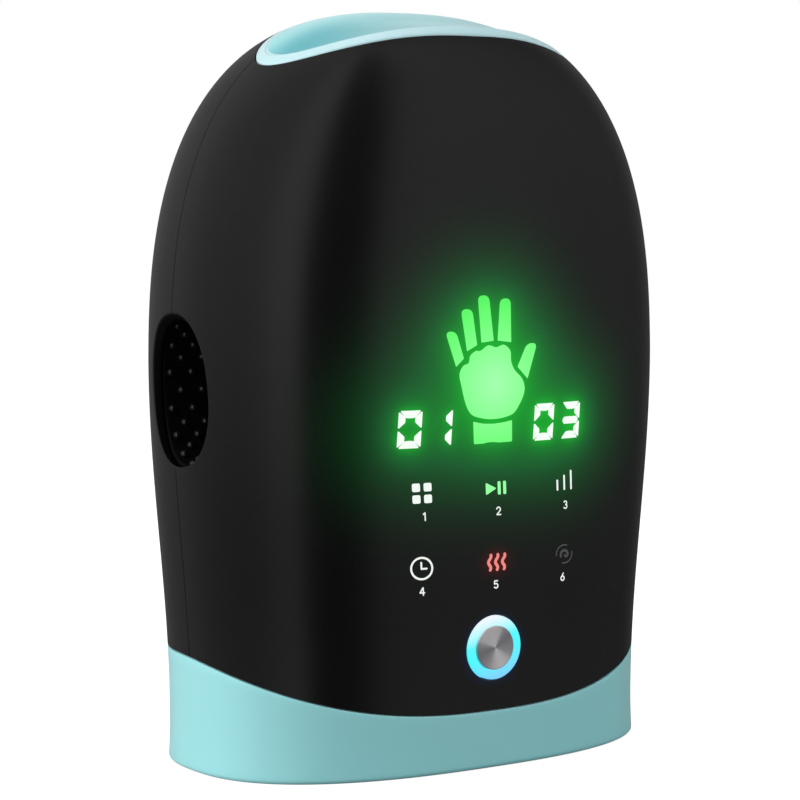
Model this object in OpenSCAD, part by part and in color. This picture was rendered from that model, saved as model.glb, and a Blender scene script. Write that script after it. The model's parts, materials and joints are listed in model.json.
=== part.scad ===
// Air-pressure hand massager, standing on its wrist opening.
// +Z is up, the display looks along -Y, and the origin is the middle of the footprint.
// The two shells part at y = 0, and the hand goes in from below.

/* [Body] */
// Width of the body where it is widest
body_w = 153.6; // [146:0.2:190]
// Depth of the body where it is deepest
body_d = 93; // [91:1:115]
// Height of the crown of the dome over the table
body_h = 209.8; // [204:0.2:256]
// Height at which the body is widest
widest_z = 113; // [105:1:120]
// Width of the foot of the body
base_w = 142.6; // [140:0.2:150]
// Depth of the foot of the body
base_d = 86; // [79:1:88]
// Wall of the shells and of the collar
wall = 2.4; // [1.8:0.1:3]
// Open joint between neighbouring shells
seam_gap = 0.3; // [0.2:0.05:0.5]

/* [Shape of the shell] */
// Squareness of the plan at the foot
corner_low = 2.5; // [2.2:0.1:3]
// Squareness of the plan at the crown
corner_top = 2.27; // [2:0.01:2.6]
// How late the sides turn in, seen from the front
side_rise = 2.48; // [2.2:0.02:3]
// How flat the crown is, seen from the front
side_crown = 2.6; // [2:0.01:3]
// How late the front and back turn in, seen from the side
front_rise = 3.15; // [2.8:0.05:4]
// How flat the crown is, seen from the side
front_crown = 4; // [3.4:0.1:4.4]
// Height of the slimmest part above the foot
waist_z = 12; // [8:1:16]
// How far the foot flares out on each side
foot_flare = 0.4; // [0:0.1:1]
// Rounding of the foot's edges
foot_round = 1.4; // [0.8:0.1:4]
// Height of the collar's seam at the front
seam_front_z = 16; // [12:1:20]
// Height of the collar's seam at the sides and back
seam_back_z = 32; // [28:1:34]
// Depth, behind the middle, where the seam starts to fall to the front
seam_turn_y = 14; // [10:1:18]

/* [Crown inlay] */
// Width of the oval inlay
inlay_w = 102.6; // [90:0.2:110]
// Depth of the oval inlay
inlay_d = 51; // [44:0.2:56]
// How far the inlay's middle lies in front of the parting line
inlay_front = 6.6; // [5:0.2:9]
// Width of the inlay's flush rim band
inlay_rim = 2.7; // [2:0.1:4]
// Depth of the scooped dish in the inlay
dish_depth = 4.2; // [3:0.1:7]
// How far behind the parting line the dish has come up to the crown again
dish_back = 4; // [2:0.5:8]
// Depth over which the dish's back wall comes up
dish_run = 26; // [16:1:28]

/* [Thumb holes] */
// Height of the oval thumb hole
thumb_h = 41.6; // [36:0.2:54]
// Width of the oval thumb hole
thumb_w = 28; // [24:0.5:32]
// Squareness of the oval, where 2 is an ellipse
thumb_square = 2.3; // [2:0.1:2.6]
// Height of the hole's middle
thumb_z = 105.6; // [100:0.2:110]
// How far the hole's middle lies in front of the parting line
thumb_front = 1.6; // [0:0.2:2]
// Backward lean of the oval
thumb_lean = 5; // [0:1:12]

/* [Inner case] */
// Clear width of the hand space
cavity_w = 112; // [104:1:116]
// Hand space in front of the parting line
cavity_front = 29; // [27:0.5:30]
// Hand space behind the parting line
cavity_back = 19; // [17:0.5:20]
// Wall of the inner case
frame_wall = 2; // [1.6:0.1:2.4]
// Corner radius of the inner case
frame_round = 16; // [14:1:18]
// Height of the inner case's lower edge
frame_bottom = 22; // [20:1:24]
// Height of the inner case's top
frame_top = 172; // [164:1:174]
// Clear width of the wrist opening
mouth_w = 108; // [100:1:110]
// Clear depth of the wrist opening
mouth_d = 46; // [42:1:48]
// Floor of the collar
floor_t = 4; // [3:0.5:5]

/* [Display] */
// Sideways pitch of the touch keys
key_pitch = 23.9; // [20:0.1:26]
// Height of the upper row of keys
key_row_high = 76; // [72:1:80]
// Height of the lower row of keys
key_row_low = 56; // [54:1:60]
// Depth, in front of the parting line, of the display board's front face
board_y = 35; // [34.6:0.1:35.2]
// Thickness of the circuit boards
board_t = 1.6; // [1:0.2:1.6]
// Depth of the light guide
guide_t = 4.2; // [3:0.1:4.4]

/* [Power button] */
// Height of the power button
button_z = 33.8; // [33:0.2:37]
// Diameter of the metal cap
cap_d = 12.4; // [10:0.2:15]
// Width of the lit ring round the cap
ring_band = 2.5; // [1.6:0.1:3]
// Gap between cap and ring, and between ring and shell
button_gap = 0.2; // [0.15:0.05:0.3]
// Travel of the button
press_travel = 0.6; // [0.3:0.1:0.6]

/* [Pressing and warming] */
// Thickness of an empty airbag
airbag_t = 3; // [2:0.2:3.4]
// Thickness of a press plate
plate_t = 1.5; // [1.2:0.1:2]
// Thickness of the stud mats
mat_t = 1.5; // [1:0.1:2]
// Radius of a massage stud
stud_r = 2.2; // [1.5:0.1:2.5]
// Pitch of the massage studs
stud_pitch = 9; // [7:0.5:12]

/* [Kneading drive] */
// Diameter of the kneading disc
disc_d = 58; // [50:1:60]
// Height of the disc's middle
disc_z = 78; // [76:1:80]
// Radius of the disc's shaft
shaft_r = 3; // [2.5:0.1:3]
// Tooth size of the gears
gear_module = 0.6; // [0.5:0.05:0.6]
// Teeth of the two pinions
pinion_teeth = 12; // [12:1:13]
// Teeth of the gear on the disc's shaft
output_teeth = 44; // [40:1:44]
// Teeth of the idler's large gear
idler_teeth = 42; // [36:1:42]
// Play between meshing teeth
backlash = 0.15; // [0.1:0.01:0.25]
// Running clearance of shafts and pins, on the radius
run_fit = 0.05; // [0.03:0.01:0.08]
// Diameter of the kneading motor
motor_d = 24; // [20:1:25]

/* [Air parts] */
// Diameter of the pump's motor
pump_d = 20; // [16:1:20]
// Radius of the air tubes
tube_r = 1.7; // [1.4:0.1:1.7]
// Radius of the air tubes' bore
tube_bore = 0.9; // [0.6:0.1:1]
// Side of a square valve
valve_side = 12; // [10:1:12]

/* [Screws] */
// Radius of a case screw's shank
screw_r = 1.45; // [1.2:0.05:1.5]
// Radius of a case screw's head
head_r = 2.75; // [2.4:0.05:2.8]
// Radius of a board screw's shank
small_screw_r = 0.95; // [0.8:0.05:1]
// Radius of a board screw's head
small_head_r = 1.8; // [1.5:0.1:1.9]
// Play of a screw in its hole, on the radius
screw_fit = 0.1; // [0.05:0.01:0.15]
// Radius of a screw boss
boss_r = 3.5; // [3:0.1:3.6]

/* [Hidden] */
$fn = 48;

// Colours
BLACK = "#2b2b2f";
TEAL = "#a8d4d4";
GREY = "#8d9196";
STEEL = "#b9bdc2";
SOFT = "#4a4d55";
BOARD = "#1f6f4a";

// Fineness of the curved shells
shell_columns = 40;
shell_rows = 22;
collar_columns = 72;
inlay_columns = 48;

// Clearance between a soft piece and what carries it
soft_gap = 0.3;
inlay_y = -inlay_front;
thumb_y = -thumb_front;
frame_front_y = -(cavity_front + frame_wall);
frame_back_y = cavity_back + frame_wall;
frame_mid_y = (frame_front_y + frame_back_y) / 2;
frame_w = cavity_w + 2 * frame_wall;
frame_d = frame_back_y - frame_front_y;
// Sideways place of the bosses that hang on the inner case's sides
side_boss_x = frame_w / 2 + boss_r - 0.7;

// Shape of the body

function ease(u) = (1 - cos(180 * u)) / 2;
function rise(z, inset) = max(0, min(1, (z - widest_z) / (body_h - inset - widest_z)));
function fall(z) = max(0, min(1, (widest_z - z) / (widest_z - waist_z)));
function flare(z) = z < waist_z ? foot_flare * pow((waist_z - z) / waist_z, 2) : 0;
function half_w(z, inset = 0) = z > widest_z
    ? (body_w / 2 - inset) * pow(1 - pow(rise(z, inset), side_rise), 1 / side_crown)
    : body_w / 2 - inset - (body_w - base_w) / 2 * ease(fall(z)) + flare(z);
function half_d(z, inset = 0) = z > widest_z
    ? (body_d / 2 - inset) * pow(1 - pow(rise(z, inset), front_rise), 1 / front_crown)
    : body_d / 2 - inset - (body_d - base_d) / 2 * ease(fall(z)) + flare(z);
function corner(z) = corner_low + (corner_top - corner_low) * rise(z, 0);
function bulge(v, power) = sign(v) * pow(abs(v), power);

// Point of the skin at the angle turn, sunk by inset
function skin(turn, z, inset = 0) = [
    half_w(z, inset) * bulge(cos(turn), 2 / corner(z)),
    half_d(z, inset) * bulge(sin(turn), 2 / corner(z)),
    z
];
// Depth of the skin at x, and width of the skin at y
function skin_y(x, z, inset = 0) =
    half_d(z, inset) * pow(1 - pow(abs(x) / half_w(z, inset), corner(z)), 1 / corner(z));
function skin_x(y, z, inset = 0) =
    half_w(z, inset) * pow(1 - pow(abs(y) / half_d(z, inset), corner(z)), 1 / corner(z));

function under_skin(x, y, z) =
    pow(abs(x) / half_w(z), corner(z)) + pow(abs(y) / half_d(z), corner(z)) < 1;
// Height of the dome over (x, y), found by halving
function crown_z(x, y, low = widest_z, high = body_h, steps = 18) =
    let (mid = (low + high) / 2)
    steps == 0 ? mid
    : under_skin(x, y, mid) ? crown_z(x, y, mid, high, steps - 1)
    : crown_z(x, y, low, mid, steps - 1);

function in_inlay(point, grow) =
    pow(point[0] / (inlay_w / 2 + grow), 2) + pow((point[1] - inlay_y) / (inlay_d / 2 + grow), 2) < 1;
// Height at which the skin meets the edge of the inlay's opening
function rim_z(turn, inset, low, high, steps = 18) =
    let (mid = (low + high) / 2)
    steps == 0 ? mid
    : in_inlay(skin(turn, mid, inset), seam_gap) ? rim_z(turn, inset, low, mid, steps - 1)
    : rim_z(turn, inset, mid, high, steps - 1);
// Height of the seam between collar and shells
function seam_z(turn) =
    let (y = skin(turn, seam_front_z)[1], drop = (seam_turn_y - y) / (seam_turn_y + base_d / 2))
    seam_back_z - (seam_back_z - seam_front_z) * pow(max(0, min(1, drop)), 2.6);

// Helpers

function grown(range, by) = [range[0] - by, range[1] + by];
module rod_x(y, z, x0, x1, r) { translate([x0, y, z]) rotate([0, 90, 0]) cylinder(h = x1 - x0, r = r); }
module rod_y(x, z, y0, y1, r) { translate([x, y0, z]) rotate([-90, 0, 0]) cylinder(h = y1 - y0, r = r); }
module rod_z(x, y, z0, z1, r) { translate([x, y, z0]) cylinder(h = z1 - z0, r = r); }
module block(x, y, z) {
    translate([x[0], y[0], z[0]]) cube([x[1] - x[0], y[1] - y[0], z[1] - z[0]]);
}
// Outline given in x and z, as a plate from y0 to y1
module plate(y0, y1) { translate([0, y1, 0]) rotate([90, 0, 0]) linear_extrude(y1 - y0) children(); }
module rounded(w, d, r) {
    square([w - 2 * r, d], center = true);
    square([w, d - 2 * r], center = true);
    for (sx = [-1, 1], sy = [-1, 1]) translate([sx * (w / 2 - r), sy * (d / 2 - r)]) circle(r);
}
module slab(x, z, y0, y1, r) {
    plate(y0, y1) translate([(x[0] + x[1]) / 2, (z[0] + z[1]) / 2]) rounded(x[1] - x[0], z[1] - z[0], r);
}
function oval(w, h, square, points = 48) = [
    for (k = [0 : points - 1])
        [w / 2 * bulge(cos(360 * k / points), 2 / square), h / 2 * bulge(sin(360 * k / points), 2 / square)]
];
// Solid between two grids of points, each a list of columns of the same length
module thick_patch(outer, inner) {
    nc = len(outer) - 1;
    nr = len(outer[0]) - 1;
    size = (nc + 1) * (nr + 1);
    function at(side, c, r) = side * size + c * (nr + 1) + r;
    points = concat([for (column = outer) each column], [for (column = inner) each column]);
    function two(a, b, c, d) = [[a, b, c], [a, c, d]];
    faces = [
        for (c = [0 : nc - 1], r = [0 : nr - 1])
            each two(at(0, c, r), at(0, c, r + 1), at(0, c + 1, r + 1), at(0, c + 1, r)),
        for (c = [0 : nc - 1], r = [0 : nr - 1])
            each two(at(1, c, r), at(1, c + 1, r), at(1, c + 1, r + 1), at(1, c, r + 1)),
        for (r = [0 : nr - 1]) each two(at(0, 0, r), at(1, 0, r), at(1, 0, r + 1), at(0, 0, r + 1)),
        for (r = [0 : nr - 1]) each two(at(0, nc, r), at(0, nc, r + 1), at(1, nc, r + 1), at(1, nc, r)),
        for (c = [0 : nc - 1]) each two(at(0, c, 0), at(0, c + 1, 0), at(1, c + 1, 0), at(1, c, 0)),
        for (c = [0 : nc - 1]) each two(at(0, c, nr), at(1, c, nr), at(1, c + 1, nr), at(0, c + 1, nr)),
    ];
    polyhedron(points, faces, convexity = 6);
}
// Ring closed both ways, from a list of closed sections
module section_ring(sections) {
    nc = len(sections);
    nr = len(sections[0]);
    function at(c, r) = (c % nc) * nr + r % nr;
    faces = [
        for (c = [0 : nc - 1], r = [0 : nr - 1])
            each [[at(c, r), at(c, r + 1), at(c + 1, r + 1)], [at(c, r), at(c + 1, r + 1), at(c + 1, r)]],
    ];
    polyhedron([for (section = sections) each section], faces, convexity = 6);
}

// Shells

// Sideways place at which a screw head still lies on the flat of the inner case
front_screw_x = frame_w / 2 - frame_round - head_r;
back_screw_x = 40;
front_screws = [for (z = [60, 158], sx = [-1, 1]) [sx * front_screw_x, z]];
back_screws = [for (z = [50, 160], sx = [-1, 1]) [sx * back_screw_x, z]];
// Depth of the blind holes that the front shell's screws cut their threads in
pilot_depth = 5.5;

function shell_column(turn, inset) =
    let (low = seam_z(turn) + seam_gap, high = rim_z(turn, inset, widest_z, body_h - inset))
    [for (k = [0 : shell_rows]) skin(turn, low + (high - low) * sin(90 * k / shell_rows), inset)];
module half_shell(start) {
    turns = [for (k = [0 : shell_columns]) start + 180 * k / shell_columns];
    thick_patch([for (turn = turns) shell_column(turn, 0)], [for (turn = turns) shell_column(turn, wall)]);
}
module thumb_prism(grow, x0, x1) {
    translate([x0, thumb_y, thumb_z]) rotate([-thumb_lean, 0, 0]) rotate([90, 0, 90])
        linear_extrude(x1 - x0) polygon(oval(thumb_w + 2 * grow, thumb_h + 2 * grow, thumb_square));
}

module front_shell() {
    ring_hole_r = ring_outer_r + button_gap;
    color(BLACK) difference() {
        union() {
            half_shell(180);
            for (at = front_screws) {
                root_y = skin_y(abs(at[0]) + boss_r, at[1]) - wall / 2;
                rod_y(at[0], at[1], -root_y, frame_front_y, boss_r);
            }
        }
        thumb_prism(0, -body_w, body_w);
        rod_y(0, button_z, -body_d, -board_y, ring_hole_r);
        for (at = front_screws)
            rod_y(at[0], at[1], frame_front_y - pilot_depth, frame_front_y + 1, screw_r + screw_fit / 2);
    }
}

// Wells for the back shell's screws, each closed by a plug
cup_y = frame_back_y + 10;
cup_floor = 3;
cup_wall = 1.6;
well_r = head_r + 0.45;
slot_w = 9.8;
slot_h = 4;
socket_z = 41;

module slot_prism(w, h, y0, y1) {
    slab([-w / 2, w / 2], [socket_z - h / 2, socket_z + h / 2], y0, y1, h / 2 - 0.01);
}
module back_shell() {
    color(BLACK) difference() {
        union() {
            half_shell(0);
            for (at = back_screws) {
                root_y = skin_y(abs(at[0]) + boss_r, at[1]) - wall / 2;
                rod_y(at[0], at[1], cup_y, root_y, well_r + cup_wall);
            }
        }
        thumb_prism(0, -body_w, body_w);
        slot_prism(slot_w, slot_h, cup_y, body_d);
        for (at = back_screws) {
            rod_y(at[0], at[1], cup_y - 1, body_d, screw_r + screw_fit);
            rod_y(at[0], at[1], cup_y + cup_floor, body_d, well_r);
        }
    }
}

throat_top = frame_bottom - soft_gap;
throat_wall = 2.4;
collar_screws_at = [for (sx = [-1, 1], sy = [-1, 1]) [sx * side_boss_x, sy * 7]];
head_sink = 2;

function mouth(turn, z, grow) = [
    (mouth_w / 2 + grow) * bulge(cos(turn), 0.5),
    frame_mid_y + (mouth_d / 2 + grow) * bulge(sin(turn), 0.5),
    z
];
function collar_section(turn) = let (top = seam_z(turn)) [
    for (a = [90 : -22.5 : 0]) mouth(turn, foot_round * (1 - sin(a)), foot_round * (1 - cos(a))),
    mouth(turn, throat_top, 0),
    mouth(turn, throat_top, throat_wall),
    mouth(turn, floor_t, throat_wall),
    skin(turn, floor_t, wall),
    skin(turn, (floor_t + top) / 2, wall),
    skin(turn, top, wall),
    for (k = [4 : -1 : 1]) skin(turn, foot_round + (top - foot_round) * k / 4, 0),
    for (a = [0 : 22.5 : 90]) skin(turn, foot_round * (1 - sin(a)), foot_round * (1 - cos(a))),
];
module base_collar() {
    color(TEAL) difference() {
        section_ring([for (k = [0 : collar_columns - 1]) collar_section(360 * k / collar_columns)]);
        for (at = collar_screws_at) {
            rod_z(at[0], at[1], -1, floor_t + 1, screw_r + screw_fit);
            rod_z(at[0], at[1], -1, head_sink, head_r + 0.35);
        }
    }
}

post_r = 3;
posts = [[-20, inlay_y], [20, inlay_y]];
// How far out each ring of the dish lies, as a share of the dish's edge
dish_rings = [0.2, 0.4, 0.58, 0.74, 0.86, 0.94, 0.985, 1];

// The dish has its steep wall in front and comes up slowly to the crown behind
function dish(share, y) =
    dish_depth * sqrt(1 - min(1, share * share)) * ease(max(0, min(1, (dish_back - y) / dish_run)));
function inlay_point(turn, share, sunk) =
    let (x = (inlay_w / 2 - inlay_rim) * share * cos(turn),
         y = inlay_y + (inlay_d / 2 - inlay_rim) * share * sin(turn))
    [x, y, crown_z(x, y) - dish(share, y) - sunk];
function inlay_edge(turn, sunk) =
    let (x = inlay_w / 2 * cos(turn), y = inlay_y + inlay_d / 2 * sin(turn)) [x, y, crown_z(x, y) - sunk];
function inlay_column(turn, sunk) = [
    for (share = dish_rings) inlay_point(turn, share, sunk),
    inlay_edge(turn, sunk)
];
module inlay_plate() {
    nr = len(dish_rings) + 1;
    nc = inlay_columns;
    turns = [for (k = [0 : nc - 1]) 360 * k / nc];
    size = nc * nr;
    function at(side, c, r) = side * size + (c % nc) * nr + r;
    function two(a, b, c, d) = [[a, b, c], [a, c, d]];
    points = concat(
        [for (sunk = [0, wall], turn = turns) each inlay_column(turn, sunk)],
        [inlay_point(0, 0, 0), inlay_point(0, 0, wall)]);
    faces = [
        for (c = [0 : nc - 1]) [2 * size, at(0, c + 1, 0), at(0, c, 0)],
        for (c = [0 : nc - 1]) [2 * size + 1, at(1, c, 0), at(1, c + 1, 0)],
        for (c = [0 : nc - 1], r = [0 : nr - 2])
            each two(at(0, c, r), at(0, c + 1, r), at(0, c + 1, r + 1), at(0, c, r + 1)),
        for (c = [0 : nc - 1], r = [0 : nr - 2])
            each two(at(1, c, r), at(1, c, r + 1), at(1, c + 1, r + 1), at(1, c + 1, r)),
        for (c = [0 : nc - 1])
            each two(at(0, c, nr - 1), at(0, c + 1, nr - 1), at(1, c + 1, nr - 1), at(1, c, nr - 1)),
    ];
    polyhedron(points, faces, convexity = 6);
}
module top_inlay() {
    color(TEAL) difference() {
        union() {
            inlay_plate();
            for (at = posts) {
                share = at[0] / (inlay_w / 2 - inlay_rim);
                rod_z(at[0], at[1], frame_top, inlay_point(0, share, wall / 2)[2], post_r);
            }
        }
        for (at = posts) rod_z(at[0], at[1], frame_top - 1, frame_top + 12, screw_r + screw_fit / 2);
    }
}

// Inner case

cap_t = 2;
join_z = [60, 152];
join_len = 8;
collar_boss_top = 40;
window_r = thumb_w / 2 + 1.5;
window_reach = (thumb_h - thumb_w) / 2;
display_posts = [[-28, 60], [28, 60], [-28, 140], [28, 140]];
main_posts = [[-32, 30], [32, 30], [-32, 52], [32, 52]];
charge_posts = [[-13, socket_z], [13, socket_z]];
small_post_r = 2.5;
pilot_len = 8;
main_board_y = frame_back_y + 1.8;
charge_board_y = frame_back_y + 10;
tube_front_y = -(cavity_front - tube_r - 0.1);
tube_back_y = cavity_back - tube_r - 0.1;
front_tube_x = 27;
finger_tube_x = 32;

module case_outline(grow) {
    translate([0, frame_mid_y]) rounded(frame_w + 2 * grow, frame_d + 2 * grow, frame_round + grow);
}
module case_half(side) {
    half = [[-body_w, 0], [body_w, 0], [body_w, side * body_d], [-body_w, side * body_d]];
    difference() {
        translate([0, 0, frame_bottom]) linear_extrude(frame_top - frame_bottom) intersection() {
            case_outline(0);
            polygon(half);
        }
        translate([0, 0, frame_bottom - 1]) linear_extrude(frame_top - cap_t - frame_bottom + 1)
            case_outline(-frame_wall);
    }
}
module case_bosses(side) {
    for (sx = [-1, 1]) {
        rod_z(sx * side_boss_x, side * 7, floor_t, collar_boss_top, boss_r);
        for (z = join_z)
            rod_y(sx * side_boss_x, z, min(0, side * join_len), max(0, side * join_len), boss_r);
    }
}
module case_cuts(side) {
    join_r = screw_r + (side > 0 ? screw_fit : screw_fit / 2);
    for (sx = [-1, 1]) {
        rod_z(sx * side_boss_x, side * 7, floor_t - 1, floor_t + 15, screw_r + screw_fit / 2);
        for (z = join_z) rod_y(sx * side_boss_x, z, -join_len + 1, join_len + 1, join_r);
    }
    for (dz = [-window_reach, window_reach])
        rod_x(thumb_y, thumb_z + dz, -body_w, body_w, window_r);
    block([-body_w, body_w], [thumb_y - window_r, thumb_y + window_r],
          [thumb_z - window_reach, thumb_z + window_reach]);
}
module front_frame() {
    color(GREY) difference() {
        union() {
            case_half(-1);
            case_bosses(-1);
            for (at = display_posts)
                rod_y(at[0], at[1], -board_y + board_t, frame_front_y + 1, small_post_r);
        }
        case_cuts(-1);
        for (at = front_screws)
            rod_y(at[0], at[1], frame_front_y - 1, frame_front_y + frame_wall + 1, screw_r + screw_fit);
        for (at = display_posts)
            rod_y(at[0], at[1], -board_y, frame_front_y + 1, small_screw_r + screw_fit / 2);
        for (at = posts) rod_z(at[0], at[1], frame_top - cap_t - 1, frame_top + 1, screw_r + screw_fit);
        rod_z(front_tube_x, tube_front_y, frame_top - cap_t - 1, frame_top + 1, tube_r + soft_gap);
    }
}
module back_frame() {
    color(GREY) difference() {
        union() {
            case_half(1);
            case_bosses(1);
            for (at = back_screws) rod_y(at[0], at[1], frame_back_y - 1, cup_y, boss_r);
            for (at = main_posts) rod_y(at[0], at[1], frame_back_y - 1, main_board_y, small_post_r);
            for (at = charge_posts) rod_y(at[0], at[1], frame_back_y - 1, charge_board_y, small_post_r);
        }
        case_cuts(1);
        for (at = back_screws)
            rod_y(at[0], at[1], cup_y - pilot_len - 0.5, cup_y + 1, screw_r + screw_fit / 2);
        for (at = main_posts)
            rod_y(at[0], at[1], frame_back_y - 1, main_board_y + 1, small_screw_r + screw_fit / 2);
        for (at = charge_posts)
            rod_y(at[0], at[1], charge_board_y - 6, charge_board_y + 1, small_screw_r + screw_fit / 2);
        for (at = gearbox_bosses)
            rod_y(at[0], at[1], cavity_back - 1, frame_back_y + 1, small_screw_r + screw_fit / 2);
        rod_y(0, disc_z, cavity_back - 1, frame_back_y + 1, bush_r + 0.02);
        rod_z(finger_tube_x, tube_back_y, frame_top - cap_t - 1, frame_top + 1, tube_r + soft_gap);
    }
}

// Soft tunnel from the hand space to the shell, with rows of small studs on its lining
sleeve_wall = 1.5;
sleeve_flange = 4;
sleeve_stud_r = 1.1;
sleeve_rows = 16;
module sleeve_studs(x, shift) {
    for (k = [0 : sleeve_rows - 1]) {
        a = 360 * (k + shift) / sleeve_rows;
        y = thumb_w / 2 * bulge(cos(a), 2 / thumb_square);
        z = thumb_h / 2 * bulge(sin(a), 2 / thumb_square);
        translate([x, y, z]) sphere(r = sleeve_stud_r, $fn = 24);
    }
}
module thumb_sleeve(side) {
    start = frame_w / 2 + soft_gap;
    end = skin_x(thumb_front + thumb_w / 2 + sleeve_wall, thumb_z - thumb_h / 2, wall) - soft_gap;
    color(SOFT) mirror([side < 0 ? 1 : 0, 0, 0]) {
        difference() {
            union() {
                thumb_prism(sleeve_wall, start, end);
                thumb_prism(sleeve_flange, start, start + sleeve_wall);
            }
            thumb_prism(0, start - 1, end + 1);
        }
        translate([0, thumb_y, thumb_z]) rotate([-thumb_lean, 0, 0]) {
            sleeve_studs(start + 3, 0);
            sleeve_studs(end - 3, 0.5);
        }
    }
}
module left_thumb_sleeve() { thumb_sleeve(-1); }
module right_thumb_sleeve() { thumb_sleeve(1); }

// Power button, from the front: cap, lit ring, switch on the display board

ring_inner_r = cap_d / 2 + button_gap;
ring_outer_r = ring_inner_r + ring_band;
button_face_y = -(skin_y(0, button_z) + 0.75);
ring_face_y = -(skin_y(0, button_z) + 0.45);
ring_foot_r = ring_outer_r + 1.7;
ring_step_y = -(skin_y(ring_foot_r, button_z - ring_foot_r, wall) - soft_gap);
flange_r = ring_inner_r + 0.35;
flange_t = 0.5;
switch_t = 2.2;
press_stop = 0.2;
flange_y = -(board_y + switch_t + press_stop + press_travel + flange_t);
plunger_r = 1.7;
plunger_len = 1.9;

module power_button() {
    bevel = 0.4;
    color(STEEL) translate([0, 0, button_z]) rotate([90, 0, 0]) rotate_extrude() polygon([
        [0, -button_face_y], [cap_d / 2 - bevel, -button_face_y], [cap_d / 2, -button_face_y - bevel],
        [cap_d / 2, -flange_y], [flange_r, -flange_y],
        [flange_r, -flange_y - flange_t], [0, -flange_y - flange_t]
    ]);
}
module button_light_ring() {
    color("#bff2ff") difference() {
        union() {
            rod_y(0, button_z, ring_face_y, -board_y, ring_outer_r);
            rod_y(0, button_z, ring_step_y, -board_y, ring_foot_r);
        }
        rod_y(0, button_z, -body_d, -board_y + 1, ring_inner_r);
        rod_y(0, button_z, flange_y - 0.1, -board_y + 1, flange_r + button_gap);
    }
}
module button_switch() {
    side = 6;
    color("black") difference() {
        block([-side / 2, side / 2], [-board_y - switch_t, -board_y],
              [button_z - side / 2, button_z + side / 2]);
        rod_y(0, button_z, -board_y - switch_t - 1, -board_y - 0.3, plunger_r + 0.1);
    }
}
module switch_plunger() {
    color("white") rod_y(0, button_z, flange_y + flange_t, flange_y + flange_t + plunger_len, plunger_r);
}

// Display

board_top = 144;
board_neck = 50;
board_low = button_z - ring_foot_r - 0.2;
tongue_half = ring_foot_r + 3.4;
guide_low = 88;
guide_high = 137;
guide_w = 70;
board_w = 70;
key_places = [for (z = [key_row_low, key_row_high], k = [-1 : 1]) [k * key_pitch, z]];
// Cells of the light guide: middle x, middle z, width, height
hand_x = -3;
hand_cells = concat(
    [for (x = [hand_x - 4.6, hand_x + 4.6]) [x, 97.5, 8.2, 12.6]],
    [for (x = [hand_x - 10, hand_x, hand_x + 10], z = [111.5, 125.5]) [x, z, 9, 12.6]]);
digit_cells = [for (x = [-29.2, -20.2, 14.4, 23.6]) [x, 96, 8, 12.4]];

module display_board() {
    color(BOARD) difference() {
        union() {
            slab([-board_w / 2, board_w / 2], [board_neck, board_top], -board_y, -board_y + board_t, 3);
            slab([-tongue_half, tongue_half], [board_low, board_neck + 4],
                 -board_y, -board_y + board_t, 1.5);
        }
        for (at = display_posts)
            rod_y(at[0], at[1], -board_y - 1, -board_y + board_t + 1, small_screw_r + screw_fit);
    }
}
module display_leds() {
    color("white") for (cell = concat(hand_cells, digit_cells))
        block([cell[0] - 1.7, cell[0] + 1.7], [-board_y - 0.8, -board_y], [cell[1] - 1.4, cell[1] + 1.4]);
}
module light_guide() {
    color("#e8e8e4") difference() {
        slab([-guide_w / 2, guide_w / 2], [guide_low, guide_high], -board_y - guide_t, -board_y, 3);
        for (cell = concat(hand_cells, digit_cells))
            slab(grown([cell[0], cell[0]], cell[2] / 2), grown([cell[1], cell[1]], cell[3] / 2),
                 -board_y - guide_t - 1, -board_y + 1, 1);
    }
}
module touch_springs() {
    spring_r = 2.6;
    color(STEEL) for (at = key_places) difference() {
        end = -(skin_y(abs(at[0]) + spring_r, at[1], wall) - soft_gap);
        rod_y(at[0], at[1], end, -board_y, spring_r);
        rod_y(at[0], at[1], end - 1, -board_y + 1, spring_r - 0.6);
    }
}
module display_chips() {
    back = -board_y + board_t;
    color("#202226") {
        block([-6, 6], [back, back + 1.2], [66, 78]);
        block([-22, -12], [back, back + 1.2], [100, 104]);
        block([12, 22], [back, back + 1.2], [100, 104]);
        block([3, 12], [back, back + 1.5], [40.5, 46.5]);
    }
}

// Pressing and warming

front_bag_y = -(cavity_front - soft_gap);
front_plate_y = front_bag_y + airbag_t + soft_gap;
pad_y = front_plate_y + plate_t;
pad_t = 0.6;
front_mat_y = pad_y + pad_t;
finger_bag_y = cavity_back - soft_gap;
finger_plate_y = finger_bag_y - airbag_t - soft_gap;
finger_mat_y = finger_plate_y - plate_t;
front_plate_x = [-35, 35];
front_plate_z = [38, 152];
finger_plate_x = [-39, 39];
finger_plate_z = [124, 162];
palm_pad_z = [46, 112];
palm_pad_t = 1.8;

// Soft mat with rows of round studs on its front or back face
module stud_mat(x, z, y, front, r, pitch) {
    nx = floor((x[1] - x[0] - pitch) / pitch);
    nz = floor((z[1] - z[0] - pitch) / pitch);
    face = front ? y[0] : y[1];
    behind = front ? [y[1], y[1] + 2 * r] : [y[0] - 2 * r, y[0]];
    difference() {
        union() {
            slab(x, z, y[0], y[1], 5);
            for (i = [0 : nx], j = [0 : nz])
                translate([(x[0] + x[1]) / 2 + (i - nx / 2) * pitch, face,
                           (z[0] + z[1]) / 2 + (j - nz / 2) * pitch]) sphere(r = r);
        }
        block(grown(x, 1), behind, grown(z, 1));
    }
}
module front_airbag() {
    color("#31517a")
        slab(grown(front_plate_x, 1), grown(front_plate_z, 2), front_bag_y, front_bag_y + airbag_t, 6);
}
cutout_x = [-6, 6];
cutout_z = [140, 146];
module front_press_plate() {
    color(GREY) difference() {
        slab(front_plate_x, front_plate_z, front_plate_y, pad_y, 5);
        block(grown(cutout_x, soft_gap), [front_plate_y - 1, pad_y + 1], grown(cutout_z, soft_gap));
    }
}
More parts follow.
